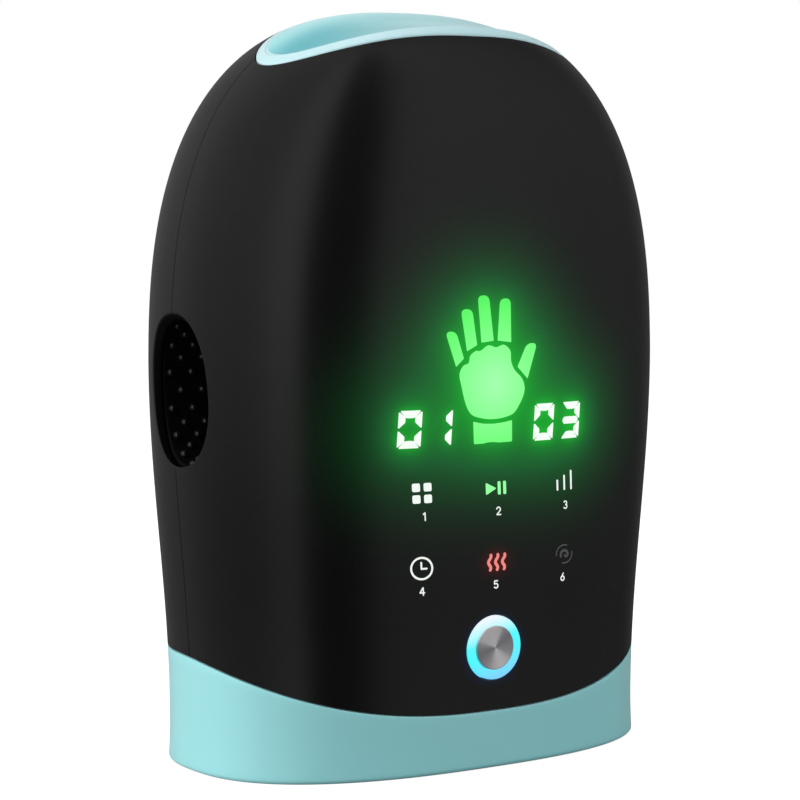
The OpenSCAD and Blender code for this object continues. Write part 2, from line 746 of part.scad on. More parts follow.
module thermal_cutout() { color(STEEL) block(cutout_x, [front_plate_y + 0.1, pad_y], cutout_z); }
module heating_pad() {
    color("#c8702a") slab(grown(front_plate_x, -3), grown(front_plate_z, -3), pad_y, front_mat_y, 4);
}
module front_node_mat() {
    color(SOFT) stud_mat(front_plate_x, front_plate_z, [front_mat_y, front_mat_y + mat_t], false,
                         stud_r, stud_pitch);
}
module finger_airbag() {
    color("#31517a")
        slab(grown(finger_plate_x, 1), grown(finger_plate_z, 2), finger_bag_y - airbag_t, finger_bag_y, 6);
}
module finger_press_plate() {
    color(GREY) slab(finger_plate_x, finger_plate_z, finger_mat_y, finger_plate_y, 5);
}
module finger_node_mat() {
    color(SOFT) stud_mat(finger_plate_x, finger_plate_z, [finger_mat_y - mat_t, finger_mat_y], true,
                         stud_r, stud_pitch);
}
module palm_side_pads() {
    inner = disc_d / 2 + 2;
    outer = frame_w / 2 - frame_round;
    color(SOFT) for (sx = [-1, 1])
        stud_mat(sx > 0 ? [inner, outer] : [-outer, -inner], palm_pad_z,
                 [cavity_back - palm_pad_t, cavity_back], true, stud_r, stud_pitch);
}

// Kneading drive: disc, output gear, idler and motor pinion, all turning about +Y

disc_y = cavity_back - 4;
disc_t = 2.6;
head_ring_r = 18;
head_ball_r = 8;
bush_r = 5;
case_floor = 1.5;
case_y = frame_back_y;
low_gear_y = [case_y + 2, case_y + 6];
high_gear_y = [case_y + 7, case_y + 10];
cover_y = case_y + 10.6;
cover_t = 1.5;
idler_pin_r = 1.5;
output_reach = gear_module * (output_teeth + pinion_teeth) / 2;
idler_reach = gear_module * (idler_teeth + pinion_teeth) / 2;
idler_turn = 45;
motor_turn = 100;
idler_at = [output_reach * cos(idler_turn), disc_z + output_reach * sin(idler_turn)];
motor_at = idler_at + idler_reach * [cos(motor_turn), sin(motor_turn)];
output_tip_r = gear_module * (output_teeth / 2 + 1);
idler_tip_r = gear_module * (idler_teeth / 2 + 1);
pinion_tip_r = gear_module * (pinion_teeth / 2 + 1);
box_gap = 0.8;
box_wall = 1.5;
gearbox_x = [-output_tip_r - box_gap, idler_at[0] + idler_tip_r + box_gap];
gearbox_z = [disc_z - output_tip_r - box_gap, motor_at[1] + pinion_tip_r + box_gap];
outer_x = grown(gearbox_x, box_wall);
outer_z = grown(gearbox_z, box_wall);
gearbox_boss_r = 2.4;
gearbox_bosses = [for (x = grown(gearbox_x, -2), z = grown(gearbox_z, -2)) [x, z]];
motor_y = cover_y + cover_t;
motor_t = 8.5;
pinion_shaft_r = 1;

// Involute teeth with a pressure angle of 25 degrees
pressure_angle = 25;
function roll(a) = tan(a) * 180 / PI - a;
function tooth_half(radius, teeth) =
    let (pitch_r = gear_module * teeth / 2,
         base_r = pitch_r * cos(pressure_angle),
         play = backlash / 4 / pitch_r * 180 / PI)
    90 / teeth + roll(pressure_angle) - roll(acos(min(1, base_r / radius))) - play;
function gear_outline(teeth, phase) =
    let (pitch_r = gear_module * teeth / 2,
         base_r = pitch_r * cos(pressure_angle),
         root_r = pitch_r - 1.25 * gear_module,
         tip_r = pitch_r + gear_module,
         low_r = max(base_r, root_r),
         flank = concat(root_r < base_r ? [root_r] : [],
                        [for (k = [0 : 5]) low_r + (tip_r - low_r) * k / 5]))
    [for (tooth = [0 : teeth - 1]) let (mid = phase + 360 * tooth / teeth) each concat(
        [for (radius = flank)
            let (a = mid - tooth_half(max(radius, low_r), teeth)) radius * [cos(a), sin(a)]],
        [for (k = [len(flank) - 1 : -1 : 0])
            let (a = mid + tooth_half(max(flank[k], low_r), teeth)) flank[k] * [cos(a), sin(a)]])];
module gear(at, teeth, phase, y) {
    plate(y[0], y[1]) translate(at) polygon(gear_outline(teeth, phase));
}

module kneading_disc() {
    color(SOFT) difference() {
        union() {
            rod_y(0, disc_z, disc_y, disc_y + disc_t, disc_d / 2);
            rod_y(0, disc_z, disc_y, cavity_back - 0.3, 2 * shaft_r);
        }
        rod_y(0, disc_z, disc_y + 0.8, cavity_back, shaft_r);
    }
}
module kneading_heads() {
    color("#6a6e78") for (k = [0 : 2]) {
        x = head_ring_r * cos(90 + 120 * k);
        z = disc_z + head_ring_r * sin(90 + 120 * k);
        difference() {
            translate([x, disc_y + 1, z]) sphere(r = head_ball_r);
            block([x - 10, x + 10], [disc_y, disc_y + 12], [z - 10, z + 10]);
        }
    }
}
module disc_shaft() { color(STEEL) rod_y(0, disc_z, disc_y + 0.8, motor_y - 0.2, shaft_r - 0.01); }
module output_gear() {
    color("white") difference() {
        gear([0, disc_z], output_teeth, idler_turn, low_gear_y);
        rod_y(0, disc_z, case_y, cover_y, shaft_r);
    }
}
module idler_gear() {
    color("white") difference() {
        union() {
            gear(idler_at, pinion_teeth, idler_turn + 180 - 180 / pinion_teeth,
                 [low_gear_y[0], high_gear_y[0]]);
            gear(idler_at, idler_teeth, motor_turn, high_gear_y);
        }
        rod_y(idler_at[0], idler_at[1], case_y, cover_y, idler_pin_r + run_fit);
    }
}
module idler_pin() {
    color(STEEL) rod_y(idler_at[0], idler_at[1], case_y + 0.1, motor_y - 0.1, idler_pin_r);
}
module motor_pinion() {
    color("#d8b56a") {
        gear(motor_at, pinion_teeth, motor_turn + 180 - 180 / pinion_teeth, high_gear_y);
        rod_y(motor_at[0], motor_at[1], high_gear_y[0] - 0.5, motor_y + 3, pinion_shaft_r);
    }
}
module knead_motor() {
    color(STEEL) difference() {
        rod_y(motor_at[0], motor_at[1], motor_y, motor_y + motor_t, motor_d / 2);
        rod_y(motor_at[0], motor_at[1], motor_y - 1, motor_y + 4, pinion_shaft_r + run_fit);
    }
}
module gearbox_case() {
    color("#d9dbd6") difference() {
        union() {
            difference() {
                slab(outer_x, outer_z, case_y, cover_y, 4);
                slab(gearbox_x, gearbox_z, case_y + case_floor, cover_y + 1, 2.5);
            }
            for (at = gearbox_bosses) rod_y(at[0], at[1], case_y + 1, cover_y, gearbox_boss_r);
        }
        for (at = gearbox_bosses) rod_y(at[0], at[1], case_y - 1, cover_y + 1, small_screw_r + screw_fit);
        rod_y(0, disc_z, case_y - 1, case_y + case_floor + 1, bush_r + 0.02);
        rod_y(idler_at[0], idler_at[1], case_y - 1, case_y + case_floor + 1, idler_pin_r + 0.02);
    }
}
module gearbox_cover() {
    color("#d9dbd6") difference() {
        slab(outer_x, outer_z, cover_y, motor_y, 4);
        for (at = gearbox_bosses) rod_y(at[0], at[1], cover_y - 1, motor_y + 1, small_screw_r + screw_fit);
        rod_y(0, disc_z, cover_y - 1, motor_y + 1, bush_r + 0.02);
        rod_y(idler_at[0], idler_at[1], cover_y - 1, motor_y + 1, idler_pin_r + 0.02);
        rod_y(motor_at[0], motor_at[1], cover_y - 1, motor_y + 1, pinion_shaft_r + 0.5);
    }
}
module shaft_bushes() {
    color("#b98a4a") for (y = [[cavity_back + 0.1, case_y + case_floor], [cover_y, motor_y]]) difference() {
        rod_y(0, disc_z, y[0], y[1], bush_r);
        rod_y(0, disc_z, y[0] - 1, y[1] + 1, shaft_r - 0.01 + run_fit);
    }
}

// Air pump, valves and tubes

pump_y = frame_back_y + soft_gap + pump_d / 2;
pump_z = 140;
pump_x = [-28, -6, 16];
pump_head_half = 10;
crank_throw = 1.2;
valve_x = [28, 42];
valve_z = [128, 146];
valve_bore_z = 134;
plunger_valve_r = 2;
valve_plunger_z = [valve_bore_z + 0.5, valve_bore_z + 10.5];
valve_mid_y = frame_back_y + valve_side / 2;
manifold_top = valve_z[1] + 7;

module pump_motor() {
    color(STEEL) difference() {
        rod_x(pump_y, pump_z, pump_x[0], pump_x[1], pump_d / 2);
        rod_x(pump_y, pump_z, pump_x[1] - 5, pump_x[1] + 1, pinion_shaft_r + run_fit);
    }
}
module pump_head() {
    color("#d9dbd6") difference() {
        block([pump_x[1], pump_x[2]], [frame_back_y, pump_y + pump_head_half - 0.3],
              [pump_z - pump_head_half, pump_z + pump_head_half]);
        rod_x(pump_y, pump_z, pump_x[1] - 1, pump_x[1] + 9, 8);
    }
}
module pump_eccentric() {
    color("#d8b56a") {
        rod_x(pump_y, pump_z, pump_x[1] - 4.5, pump_x[1] + 2, pinion_shaft_r);
        rod_x(pump_y + crank_throw, pump_z, pump_x[1] + 1, pump_x[1] + 6, 5);
    }
}
module valve_bodies() {
    color("#3a4a6a") for (x = valve_x) difference() {
        block([x - valve_side / 2, x + valve_side / 2], [frame_back_y, frame_back_y + valve_side], valve_z);
        rod_z(x, valve_mid_y, valve_bore_z, valve_z[1] + 1, plunger_valve_r + run_fit);
    }
}
module valve_plunger(x) {
    color(STEEL) rod_z(x, valve_mid_y, valve_plunger_z[0], valve_plunger_z[1], plunger_valve_r);
}
module front_valve_plunger() { valve_plunger(valve_x[0]); }
module finger_valve_plunger() { valve_plunger(valve_x[1]); }
module air_manifold() {
    duct_z = valve_z[1] + 3;
    color("#d9dbd6") difference() {
        block([valve_x[0] - 8, valve_x[1] + 6], [frame_back_y + 2, frame_back_y + 10],
              [valve_z[1], manifold_top]);
        rod_x(tube_y, duct_z, feed_x, valve_x[1], tube_bore);
        for (x = [feed_x, front_tube_x, finger_tube_x])
            rod_z(x, tube_y, duct_z, manifold_top + 1, tube_bore);
        for (x = valve_x) rod_z(x, valve_mid_y, valve_z[1] - 1, duct_z, tube_bore);
    }
}
// Tube along straight stretches with round elbows
module run(points, r) {
    for (k = [0 : len(points) - 2]) {
        a = points[k];
        b = points[k + 1];
        d = b - a;
        if (d[0] != 0) rod_x(a[1], a[2], min(a[0], b[0]), max(a[0], b[0]), r);
        if (d[1] != 0) rod_y(a[0], a[2], min(a[1], b[1]), max(a[1], b[1]), r);
        if (d[2] != 0) rod_z(a[0], a[1], min(a[2], b[2]), max(a[2], b[2]), r);
        if (k > 0) translate(a) sphere(r = r);
    }
}
tube_y = frame_back_y + 6;
over_top = frame_top + 4;
feed_x = 22;
feed_run = [[pump_x[2] - 4, tube_y, pump_z + pump_head_half], [pump_x[2] - 4, tube_y, manifold_top + 4],
            [feed_x, tube_y, manifold_top + 4], [feed_x, tube_y, manifold_top]];
front_run = [[front_tube_x, tube_y, manifold_top], [front_tube_x, tube_y, over_top],
             [front_tube_x, tube_front_y, over_top],
             [front_tube_x, tube_front_y, front_plate_z[1] + 2 + soft_gap]];
finger_run = [[finger_tube_x, tube_y, manifold_top], [finger_tube_x, tube_y, over_top],
              [finger_tube_x, tube_back_y, over_top],
              [finger_tube_x, tube_back_y, finger_plate_z[1] + 2 + soft_gap]];
module air_tubes() {
    color("#c9d6d2") for (path = [feed_run, front_run, finger_run]) difference() {
        run(path, tube_r);
        run(path, tube_bore);
    }
}

// Power and control

pack_x = [-51, -19];
pack_y = [frame_back_y + 2, frame_back_y + 11];
pack_z = [60, 120];
tray_wall = 1.5;
main_board_x = [-36, 36];
main_board_z = [26, 56];
pad_clear = 0.4;

module battery_tray() {
    color("#e8e8e4") difference() {
        block(grown(pack_x, tray_wall + soft_gap), [frame_back_y, frame_back_y + 7],
              grown(pack_z, tray_wall + soft_gap));
        block(grown(pack_x, soft_gap), [frame_back_y + 1.5, frame_back_y + 8], grown(pack_z, soft_gap));
    }
}
module battery_pack() {
    color("#7c8aa0") translate([0, 0, pack_z[0]]) linear_extrude(pack_z[1] - pack_z[0])
        translate([(pack_x[0] + pack_x[1]) / 2, (pack_y[0] + pack_y[1]) / 2 - 0.2])
            rounded(pack_x[1] - pack_x[0], pack_y[1] - pack_y[0], 3.5);
}
module main_board() {
    color(BOARD) difference() {
        slab(main_board_x, main_board_z, main_board_y, main_board_y + board_t, 2);
        for (at = main_posts)
            rod_y(at[0], at[1], main_board_y - 1, main_board_y + board_t + 1, small_screw_r + screw_fit);
        for (at = charge_posts)
            rod_y(at[0], at[1], main_board_y - 1, main_board_y + board_t + 1, small_post_r + pad_clear);
    }
}
module main_chips() {
    face = main_board_y + board_t;
    color("#202226") {
        block([-5, 5], [face, face + 1.2], [28, 36]);
        for (x = [-30, -24]) block([x, x + 4], [face, face + 1.8], [46, 51]);
        for (x = [20, 27]) rod_y(x, 44, face, face + 6, 2.6);
        block([20, 30], [face, face + 5], [31, 36]);
        block([24, 33], [main_board_y - 0.9, main_board_y], [ribbon_z[0] - 0.5, ribbon_z[1] + 0.5]);
    }
}
buzzer_at = [-25, 35];
module buzzer() {
    face = main_board_y + board_t;
    color("#17181a") difference() {
        rod_y(buzzer_at[0], buzzer_at[1], face, face + 4.5, 4.5);
        rod_y(buzzer_at[0], buzzer_at[1], face + 3, face + 6, 1);
    }
}
module charge_board() {
    color(BOARD) difference() {
        slab([-17, 17], [socket_z - 6, socket_z + 6], charge_board_y, charge_board_y + 1.2, 2);
        for (at = charge_posts)
            rod_y(at[0], at[1], charge_board_y - 1, charge_board_y + 3, small_screw_r + screw_fit);
    }
}
module charge_socket() {
    w = slot_w - 2 * pad_clear;
    h = slot_h - 2 * pad_clear;
    mouth_y = skin_y(0, socket_z) - 0.6;
    color(STEEL) difference() {
        slot_prism(w, h, charge_board_y + 1.2, mouth_y);
        slot_prism(w - 0.6, h - 0.6, mouth_y - 6, mouth_y + 1);
    }
    color("black") slab([-3.3, 3.3], [socket_z - 0.35, socket_z + 0.35], mouth_y - 6.5, mouth_y - 1, 0.3);
}
ribbon_z = [41, 46];
ribbon_t = 0.3;
module ribbon_cable() {
    lift = soft_gap;
    reach = [8, 26];
    color("#c9c4b4") translate([0, 0, ribbon_z[0]]) linear_extrude(ribbon_z[1] - ribbon_z[0]) difference() {
        case_outline(lift + ribbon_t);
        case_outline(lift);
        translate([-body_w, -body_d]) square([body_w + reach[0], body_d]);
        translate([-body_w, 0]) square([body_w + reach[1], body_d]);
    }
}

// Plugs and screws

head_h = 1.8;
small_head_h = 1.2;

plug_fit = 0.2;
plug_proud = 0.5;
module screw_plugs() {
    color("#202226") for (at = back_screws)
        rod_y(at[0], at[1], cup_y + cup_floor + head_h, skin_y(abs(at[0]), at[1]) + plug_proud,
              well_r - plug_fit);
}
// Screw along +Y or -Y: head_y is the seat of the head, reach is signed
module screw_y(at, head_y, reach, r, big_r, cap) {
    rod_y(at[0], at[1], min(head_y, head_y + reach), max(head_y, head_y + reach), r);
    rod_y(at[0], at[1], reach > 0 ? head_y - cap : head_y, reach > 0 ? head_y : head_y + cap, big_r);
}
module shell_screws() {
    color(STEEL) {
        for (at = front_screws)
            screw_y(at, -cavity_front, 0.5 - frame_wall - pilot_depth, screw_r, head_r, head_h);
        for (at = back_screws)
            screw_y(at, cup_y + cup_floor, -cup_floor - pilot_len, screw_r, head_r, head_h);
    }
}
module frame_screws() {
    color(STEEL) for (sx = [-1, 1], z = join_z)
        screw_y([sx * side_boss_x, z], join_len, 2.5 - 2 * join_len, screw_r, head_r, head_h);
}
module collar_screws() {
    color(STEEL) for (at = collar_screws_at) {
        rod_z(at[0], at[1], 0.3, head_sink, head_r);
        rod_z(at[0], at[1], head_sink, floor_t + 12, screw_r);
    }
}
module inlay_screws() {
    color(STEEL) for (at = posts) {
        rod_z(at[0], at[1], frame_top - cap_t - head_h, frame_top - cap_t, head_r);
        rod_z(at[0], at[1], frame_top - cap_t, frame_top + 10, screw_r);
    }
}
module board_screws() {
    color(STEEL) {
        for (at = display_posts) screw_y(at, -board_y, 3.4, small_screw_r, small_head_r, small_head_h);
        for (at = main_posts)
            screw_y(at, main_board_y + board_t, -3, small_screw_r, small_head_r, small_head_h);
        for (at = charge_posts)
            screw_y(at, charge_board_y + 1.2, -6, small_screw_r, small_head_r, small_head_h);
    }
}
module gearbox_screws() {
    color(STEEL) for (at = gearbox_bosses)
        screw_y(at, motor_y, cavity_back + 0.4 - motor_y, small_screw_r, small_head_r, small_head_h);
}

front_shell();
back_shell();
base_collar();
top_inlay();
front_frame();
back_frame();
left_thumb_sleeve();
right_thumb_sleeve();
power_button();
button_light_ring();
button_switch();
switch_plunger();
display_board();
display_leds();
light_guide();
touch_springs();
display_chips();
front_airbag();
front_press_plate();
heating_pad();
front_node_mat();
thermal_cutout();
finger_airbag();
finger_press_plate();
finger_node_mat();
palm_side_pads();
kneading_disc();
kneading_heads();
disc_shaft();
output_gear();
idler_gear();
idler_pin();
motor_pinion();
knead_motor();
gearbox_case();
gearbox_cover();
shaft_bushes();
pump_motor();
pump_head();
pump_eccentric();
valve_bodies();
front_valve_plunger();
finger_valve_plunger();
air_manifold();
air_tubes();
battery_tray();
battery_pack();
main_board();
main_chips();
buzzer();
charge_board();
charge_socket();
ribbon_cable();
screw_plugs();
shell_screws();
frame_screws();
collar_screws();
inlay_screws();
board_screws();
gearbox_screws();
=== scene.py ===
import json
import math

import bpy
import numpy as np
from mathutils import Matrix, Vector
from mathutils.geometry import delaunay_2d_cdt


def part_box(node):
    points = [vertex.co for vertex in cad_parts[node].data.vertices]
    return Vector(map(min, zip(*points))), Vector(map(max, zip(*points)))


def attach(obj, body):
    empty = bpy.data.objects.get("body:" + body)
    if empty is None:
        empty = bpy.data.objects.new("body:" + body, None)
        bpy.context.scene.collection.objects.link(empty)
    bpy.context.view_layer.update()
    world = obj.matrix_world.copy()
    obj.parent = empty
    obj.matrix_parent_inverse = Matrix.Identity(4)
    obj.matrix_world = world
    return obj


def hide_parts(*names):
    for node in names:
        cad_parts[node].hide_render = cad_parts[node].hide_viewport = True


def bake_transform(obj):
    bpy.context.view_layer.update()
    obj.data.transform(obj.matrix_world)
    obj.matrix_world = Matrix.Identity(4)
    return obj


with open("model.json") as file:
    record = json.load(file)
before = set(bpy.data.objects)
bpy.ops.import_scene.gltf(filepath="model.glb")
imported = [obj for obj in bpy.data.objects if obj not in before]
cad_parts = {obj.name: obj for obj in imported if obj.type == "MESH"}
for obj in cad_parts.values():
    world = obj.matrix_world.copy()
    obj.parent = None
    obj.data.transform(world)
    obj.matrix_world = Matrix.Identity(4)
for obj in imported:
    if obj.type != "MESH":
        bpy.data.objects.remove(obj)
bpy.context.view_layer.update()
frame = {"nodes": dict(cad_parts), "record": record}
NODES = frame["nodes"]
MM = 0.001

# Shape of the body, in metres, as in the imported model
BODY_W = 153.6 * MM
BODY_D = 93 * MM
BODY_H = 209.8 * MM
WIDEST_Z = 113 * MM
BASE_W = 142.6 * MM
BASE_D = 86 * MM
WALL = 2.4 * MM
GAP = 0.3 * MM
CORNER_LOW = 2.5
CORNER_TOP = 2.27
SIDE_RISE, SIDE_CROWN = 2.48, 2.6
FRONT_RISE, FRONT_CROWN = 3.15, 4.0
WAIST_Z = 12 * MM
FOOT_FLARE = 0.4 * MM
FOOT_ROUND = 1.4 * MM
SEAM_FRONT_Z = 16 * MM
SEAM_BACK_Z = 32 * MM
SEAM_TURN_Y, SEAM_POWER = 14 * MM, 2.6
INLAY_W, INLAY_D = 102.6 * MM, 51 * MM
INLAY_FRONT = 6.6 * MM
INLAY_RIM = 2.7 * MM
DISH_DEPTH, DISH_BACK, DISH_RUN = 4.2 * MM, 4 * MM, 26 * MM
# Painted light on the inlay: how far back the painted shade in the dish runs, the width over which it grows towards
# the ends, and the painted highlight's level on the rim band
DISH_SHADE_RUN, DISH_SHADE_SPREAD, RIM_PAINTED_HIGHLIGHT = 16 * MM, 40 * MM, 0.8
THUMB_H, THUMB_W, THUMB_SQUARE = 41.6 * MM, 28 * MM, 2.3
THUMB_Y, THUMB_Z = -1.6 * MM, 105.6 * MM
THUMB_LEAN = math.radians(5)
SOFT_GAP = 0.3 * MM
SLEEVE_START, SLEEVE_WALL = 58.3 * MM, 1.5 * MM
BUTTON_Z = 33.8 * MM
CAP_R = 6.2 * MM
RING_R = 8.9 * MM
BUTTON_GAP = 0.2 * MM
MOUTH_W, MOUTH_D, MOUTH_Y = 108 * MM, 46 * MM, -5 * MM
FLOOR = 4 * MM
THROAT_TOP = 21.7 * MM
THROAT_WALL = 2.4 * MM
THROAT_LIP, INLAY_LIP = 0.5 * MM, 0.35 * MM
CAP_PROUD, CAP_DISH, CAP_EDGE, CAP_FLANGE = 0.75 * MM, 0.12 * MM, 0.6 * MM, 0.5 * MM
WELL_X, WELL_Z, WELL_R = 40 * MM, (50 * MM, 160 * MM), 3.2 * MM
SLOT_Z, SLOT_R, SLOT_FLAT = 41 * MM, 2 * MM, 2.9 * MM
HALVINGS = 40

# Camera: where it stands, how it is turned, its focal length and its sideways shift
CAMERA_AT = (-0.4291, -0.6313, 0.1617)
CAMERA_TURN = math.radians(34.2)
CAMERA_DOWN = math.radians(4.669)
LENS, SENSOR = 119.9, 36
SHIFT_X = -0.007


# Camera, floor and lamps

def linked(name, data):
    """Object with the data, in the scene."""
    made = bpy.data.objects.new(name, data)
    bpy.context.scene.collection.objects.link(made)
    return made


def aim(thing, at, ahead):
    """Puts a camera or a lamp at a point, looking along a direction."""
    thing.location, thing.rotation_mode = at, "QUATERNION"
    thing.rotation_quaternion = ahead.to_track_quat("-Z", "Y")


def add_camera():
    """Camera of long focus that looks down a little from the object's left, fitted to the photograph."""
    data = bpy.data.cameras.new("camera")
    data.lens, data.sensor_width, data.shift_x = LENS, SENSOR, SHIFT_X
    data.clip_start, data.clip_end = 0.05, 20
    camera = bpy.context.scene.camera = linked("camera", data)
    aim(camera, CAMERA_AT, Vector((math.sin(CAMERA_TURN) * math.cos(CAMERA_DOWN),
                                   math.cos(CAMERA_TURN) * math.cos(CAMERA_DOWN), -math.sin(CAMERA_DOWN))))


def add_lamp(name, at, towards, size, power, colour=(1, 1, 1)):
    """Rectangular softbox of size (width, height) at a point, facing another point."""
    data = bpy.data.lights.new(name, "AREA")
    data.shape, data.size, data.size_y = "RECTANGLE", *size
    data.energy, data.color = power, colour
    lamp = linked(name, data)
    lamp.visible_glossy = False
    aim(lamp, at, Vector(towards) - Vector(at))


def feed(tree, node, inputs):
    """Each input of a node, by name or number, takes a value or is linked to a socket."""
    for key, given in dict(inputs).items():
        if isinstance(given, bpy.types.NodeSocket):
            tree.links.new(given, node.inputs[key])
        else:
            node.inputs[key].default_value = given


def add_node(tree, kind, inputs=(), **settings):
    """Shader node with its settings and its inputs."""
    node = tree.nodes.new("ShaderNode" + kind)
    for name, value in settings.items():
        setattr(node, name, value)
    feed(tree, node, inputs)
    return node


def calc(tree, operation, *inputs):
    """Output of a math node fed by sockets or numbers."""
    return add_node(tree, "Math", enumerate(inputs), operation=operation).outputs[0]


def colour_ramp(tree, factor, stops):
    """Colour between the stops, given as pairs of place and colour."""
    ramp = add_node(tree, "ValToRGB", {"Fac": factor})
    elements = ramp.color_ramp.elements
    while len(elements) < len(stops):
        elements.new(0.5)
    for element, (place, colour) in zip(elements, stops):
        element.position, element.color = place, (*colour, 1)
    return ramp.outputs["Color"]


# What reflections see: grey level by direction round the object in degrees (0 is in front, 90 on its right),
# and the share of it by height above the floor in degrees
ROUND = [(-180, 0.26), (-150, 0.38), (-75, 0.38), (-55, 0.5), (-44, 0.72), (-30, 0.72), (-28, 0.01), (3, 0.01),
         (5, 0.47), (30, 0.45), (52, 0.34), (75, 0.24), (95, 0.12), (130, 0.14), (180, 0.26)]
HEIGHT = [(-90, 0.15), (-25, 0.25), (-17, 0.42), (-8, 0.7), (4, 0.92), (15, 1.0), (90, 1.0)]


def add_world(ambient):
    """White for the camera, two wide softboxes for reflections, and an even light on matt surfaces."""
    world = bpy.context.scene.world = bpy.data.worlds.new("studio")
    world.use_nodes = True
    tree = world.node_tree
    tree.nodes.clear()
    path, where = add_node(tree, "LightPath").outputs, add_node(tree, "TexCoord")
    axes = add_node(tree, "SeparateXYZ", {0: where.outputs["Generated"]}).outputs
    turn = calc(tree, "ARCTAN2", axes["X"], calc(tree, "MULTIPLY", axes["Y"], -1.0))
    climb = calc(tree, "ARCSINE", axes["Z"])
    beside = colour_ramp(tree, calc(tree, "MULTIPLY_ADD", turn, 0.5 / math.pi, 0.5),
                         [((angle + 180) / 360, (level,) * 3) for angle, level in ROUND])
    above = colour_ramp(tree, calc(tree, "MULTIPLY_ADD", climb, 1 / math.pi, 0.5),
                        [((angle + 90) / 180, (level,) * 3) for angle, level in HEIGHT])
    both = add_node(tree, "VectorMath", {0: beside, 1: above}, operation="MULTIPLY")
    shades = (((1, 1, 1, 1), ambient), ((1, 1, 1, 1), 1), (both.outputs[0], 1))
    even, white, mirrored = (add_node(tree, "Background", {"Color": colour, "Strength": strength}).outputs[0]
                             for colour, strength in shades)
    clear = calc(tree, "MAXIMUM", path["Is Glossy Ray"], path["Is Transmission Ray"])
    first = add_node(tree, "MixShader", {0: clear, 1: even, 2: mirrored})
    second = add_node(tree, "MixShader", {0: path["Is Camera Ray"], 1: first.outputs[0], 2: white})
    add_node(tree, "OutputWorld", {0: second.outputs[0]})


def add_floor(size, glow, albedo):
    """Pale floor: a glow for camera rays keeps it white and leaves its shadow, and reflections see the world."""
    mesh = bpy.data.meshes.new("floor")
    mesh.from_pydata([(-size, -size, 0), (size, -size, 0), (size, size, 0), (-size, size, 0)], [], [(0, 1, 2, 3)])
    floor = linked("floor", mesh)
    floor.visible_glossy = False
    made = bpy.data.materials.new("pale_floor")
    made.use_nodes = True
    tree = made.node_tree
    tree.nodes.clear()
    seen = add_node(tree, "LightPath").outputs["Is Camera Ray"]
    diffuse = add_node(tree, "BsdfDiffuse", {"Color": (albedo, albedo, albedo, 1)})
    emit = add_node(tree, "Emission", {"Strength": calc(tree, "MULTIPLY", seen, glow)})
    both = add_node(tree, "AddShader", {0: diffuse.outputs[0], 1: emit.outputs[0]})
    add_node(tree, "OutputMaterial", {0: both.outputs[0]})
    mesh.materials.append(made)


# Skin of the body, as functions of the polar angle, the height and the depth below the surface

def ease(share):
    """(1 - cos(pi share)) / 2: from 0 to 1, level at both ends."""
    return (1 - np.cos(np.pi * share)) / 2


def rise(z, inset):
    """Share of the way up from the widest height to the crown."""
    return np.clip((z - WIDEST_Z) / (BODY_H - inset - WIDEST_Z), 0, 1)


def lower_half(z, inset, widest, base):
    """Half a width below the widest height: it eases in to the base's, and the foot flares by the square of the
    share of the way down from the waist."""
    share = np.clip((WIDEST_Z - z) / (WIDEST_Z - WAIST_Z), 0, 1)
    flare = FOOT_FLARE * np.clip((WAIST_Z - z) / WAIST_Z, 0, None) ** 2
    return widest / 2 - inset - (widest - base) / 2 * ease(share) + flare


def half_size(z, inset, widest, base, power, crown):
    """Half a width: widest / 2 times (1 - rise^power)^(1 / crown) above the widest height."""
    upper = (widest / 2 - inset) * (1 - rise(z, inset) ** power) ** (1 / crown)
    return np.where(z > WIDEST_Z, upper, lower_half(z, inset, widest, base))


def half_w(z, inset=0.0):
    """Half the width at a height, some way below the skin."""
    return half_size(z, inset, BODY_W, BASE_W, SIDE_RISE, SIDE_CROWN)


def half_d(z, inset=0.0):
    """Half the depth at a height, some way below the skin."""
    return half_size(z, inset, BODY_D, BASE_D, FRONT_RISE, FRONT_CROWN)


def corner(z):
    """Power of the plan's superellipse, which changes with the rise."""
    return CORNER_LOW + (CORNER_TOP - CORNER_LOW) * rise(z, 0)


def skin(turn, z, inset=0.0):
    """Superellipse |x/a|^n + |y/b|^n = 1 at the height z, at the polar angle turn of (x/a, y/b)."""
    power = corner(z)
    c, s = np.cos(turn), np.sin(turn)
    reach = (np.abs(c) ** power + np.abs(s) ** power) ** (-1 / power)
    return np.stack([half_w(z, inset) * reach * c, half_d(z, inset) * reach * s, z + 0 * turn], -1)


def skin_y(x, z, inset=0.0):
    """How far the skin lies from the parting plane: b (1 - |x/a|^n)^(1/n)."""
    power = corner(z)
    return half_d(z, inset) * (1 - np.abs(x / half_w(z, inset)) ** power) ** (1 / power)


def skin_x(y, z, inset=0.0):
    """How far the skin lies from the middle plane: a (1 - |y/b|^n)^(1/n)."""
    power = corner(z)
    return half_w(z, inset) * (1 - np.abs(y / half_d(z, inset)) ** power) ** (1 / power)


def skin_turn(x, y, z):
    """Polar angle of (x/a, y/b), from 0 to 2 pi."""
    return np.arctan2(y / half_d(z), x / half_w(z)) % (2 * np.pi)


def crown_z(x, y):
    """Height of the dome over (x, y), where |x/a|^n + |y/b|^n = 1, by halving."""
    low, high = np.full(np.shape(x), WIDEST_Z), np.full(np.shape(x), BODY_H)
    for _ in range(HALVINGS):
        mid = (low + high) / 2
        power = corner(mid)
        wide, deep = np.maximum(half_w(mid), 1e-9), np.maximum(half_d(mid), 1e-9)
        inside = np.abs(x / wide) ** power + np.abs(y / deep) ** power < 1
        low, high = np.where(inside, mid, low), np.where(inside, high, mid)
    return (low + high) / 2


def seam_z(turn):
    """Height of the collar's seam: level at the back, it falls to the front by the seam's power of the way."""
    y = skin(turn, SEAM_FRONT_Z + 0 * turn)[..., 1]
    drop = np.clip((SEAM_TURN_Y - y) / (SEAM_TURN_Y + BASE_D / 2), 0, 1)
    return SEAM_BACK_Z - (SEAM_BACK_Z - SEAM_FRONT_Z) * drop ** SEAM_POWER


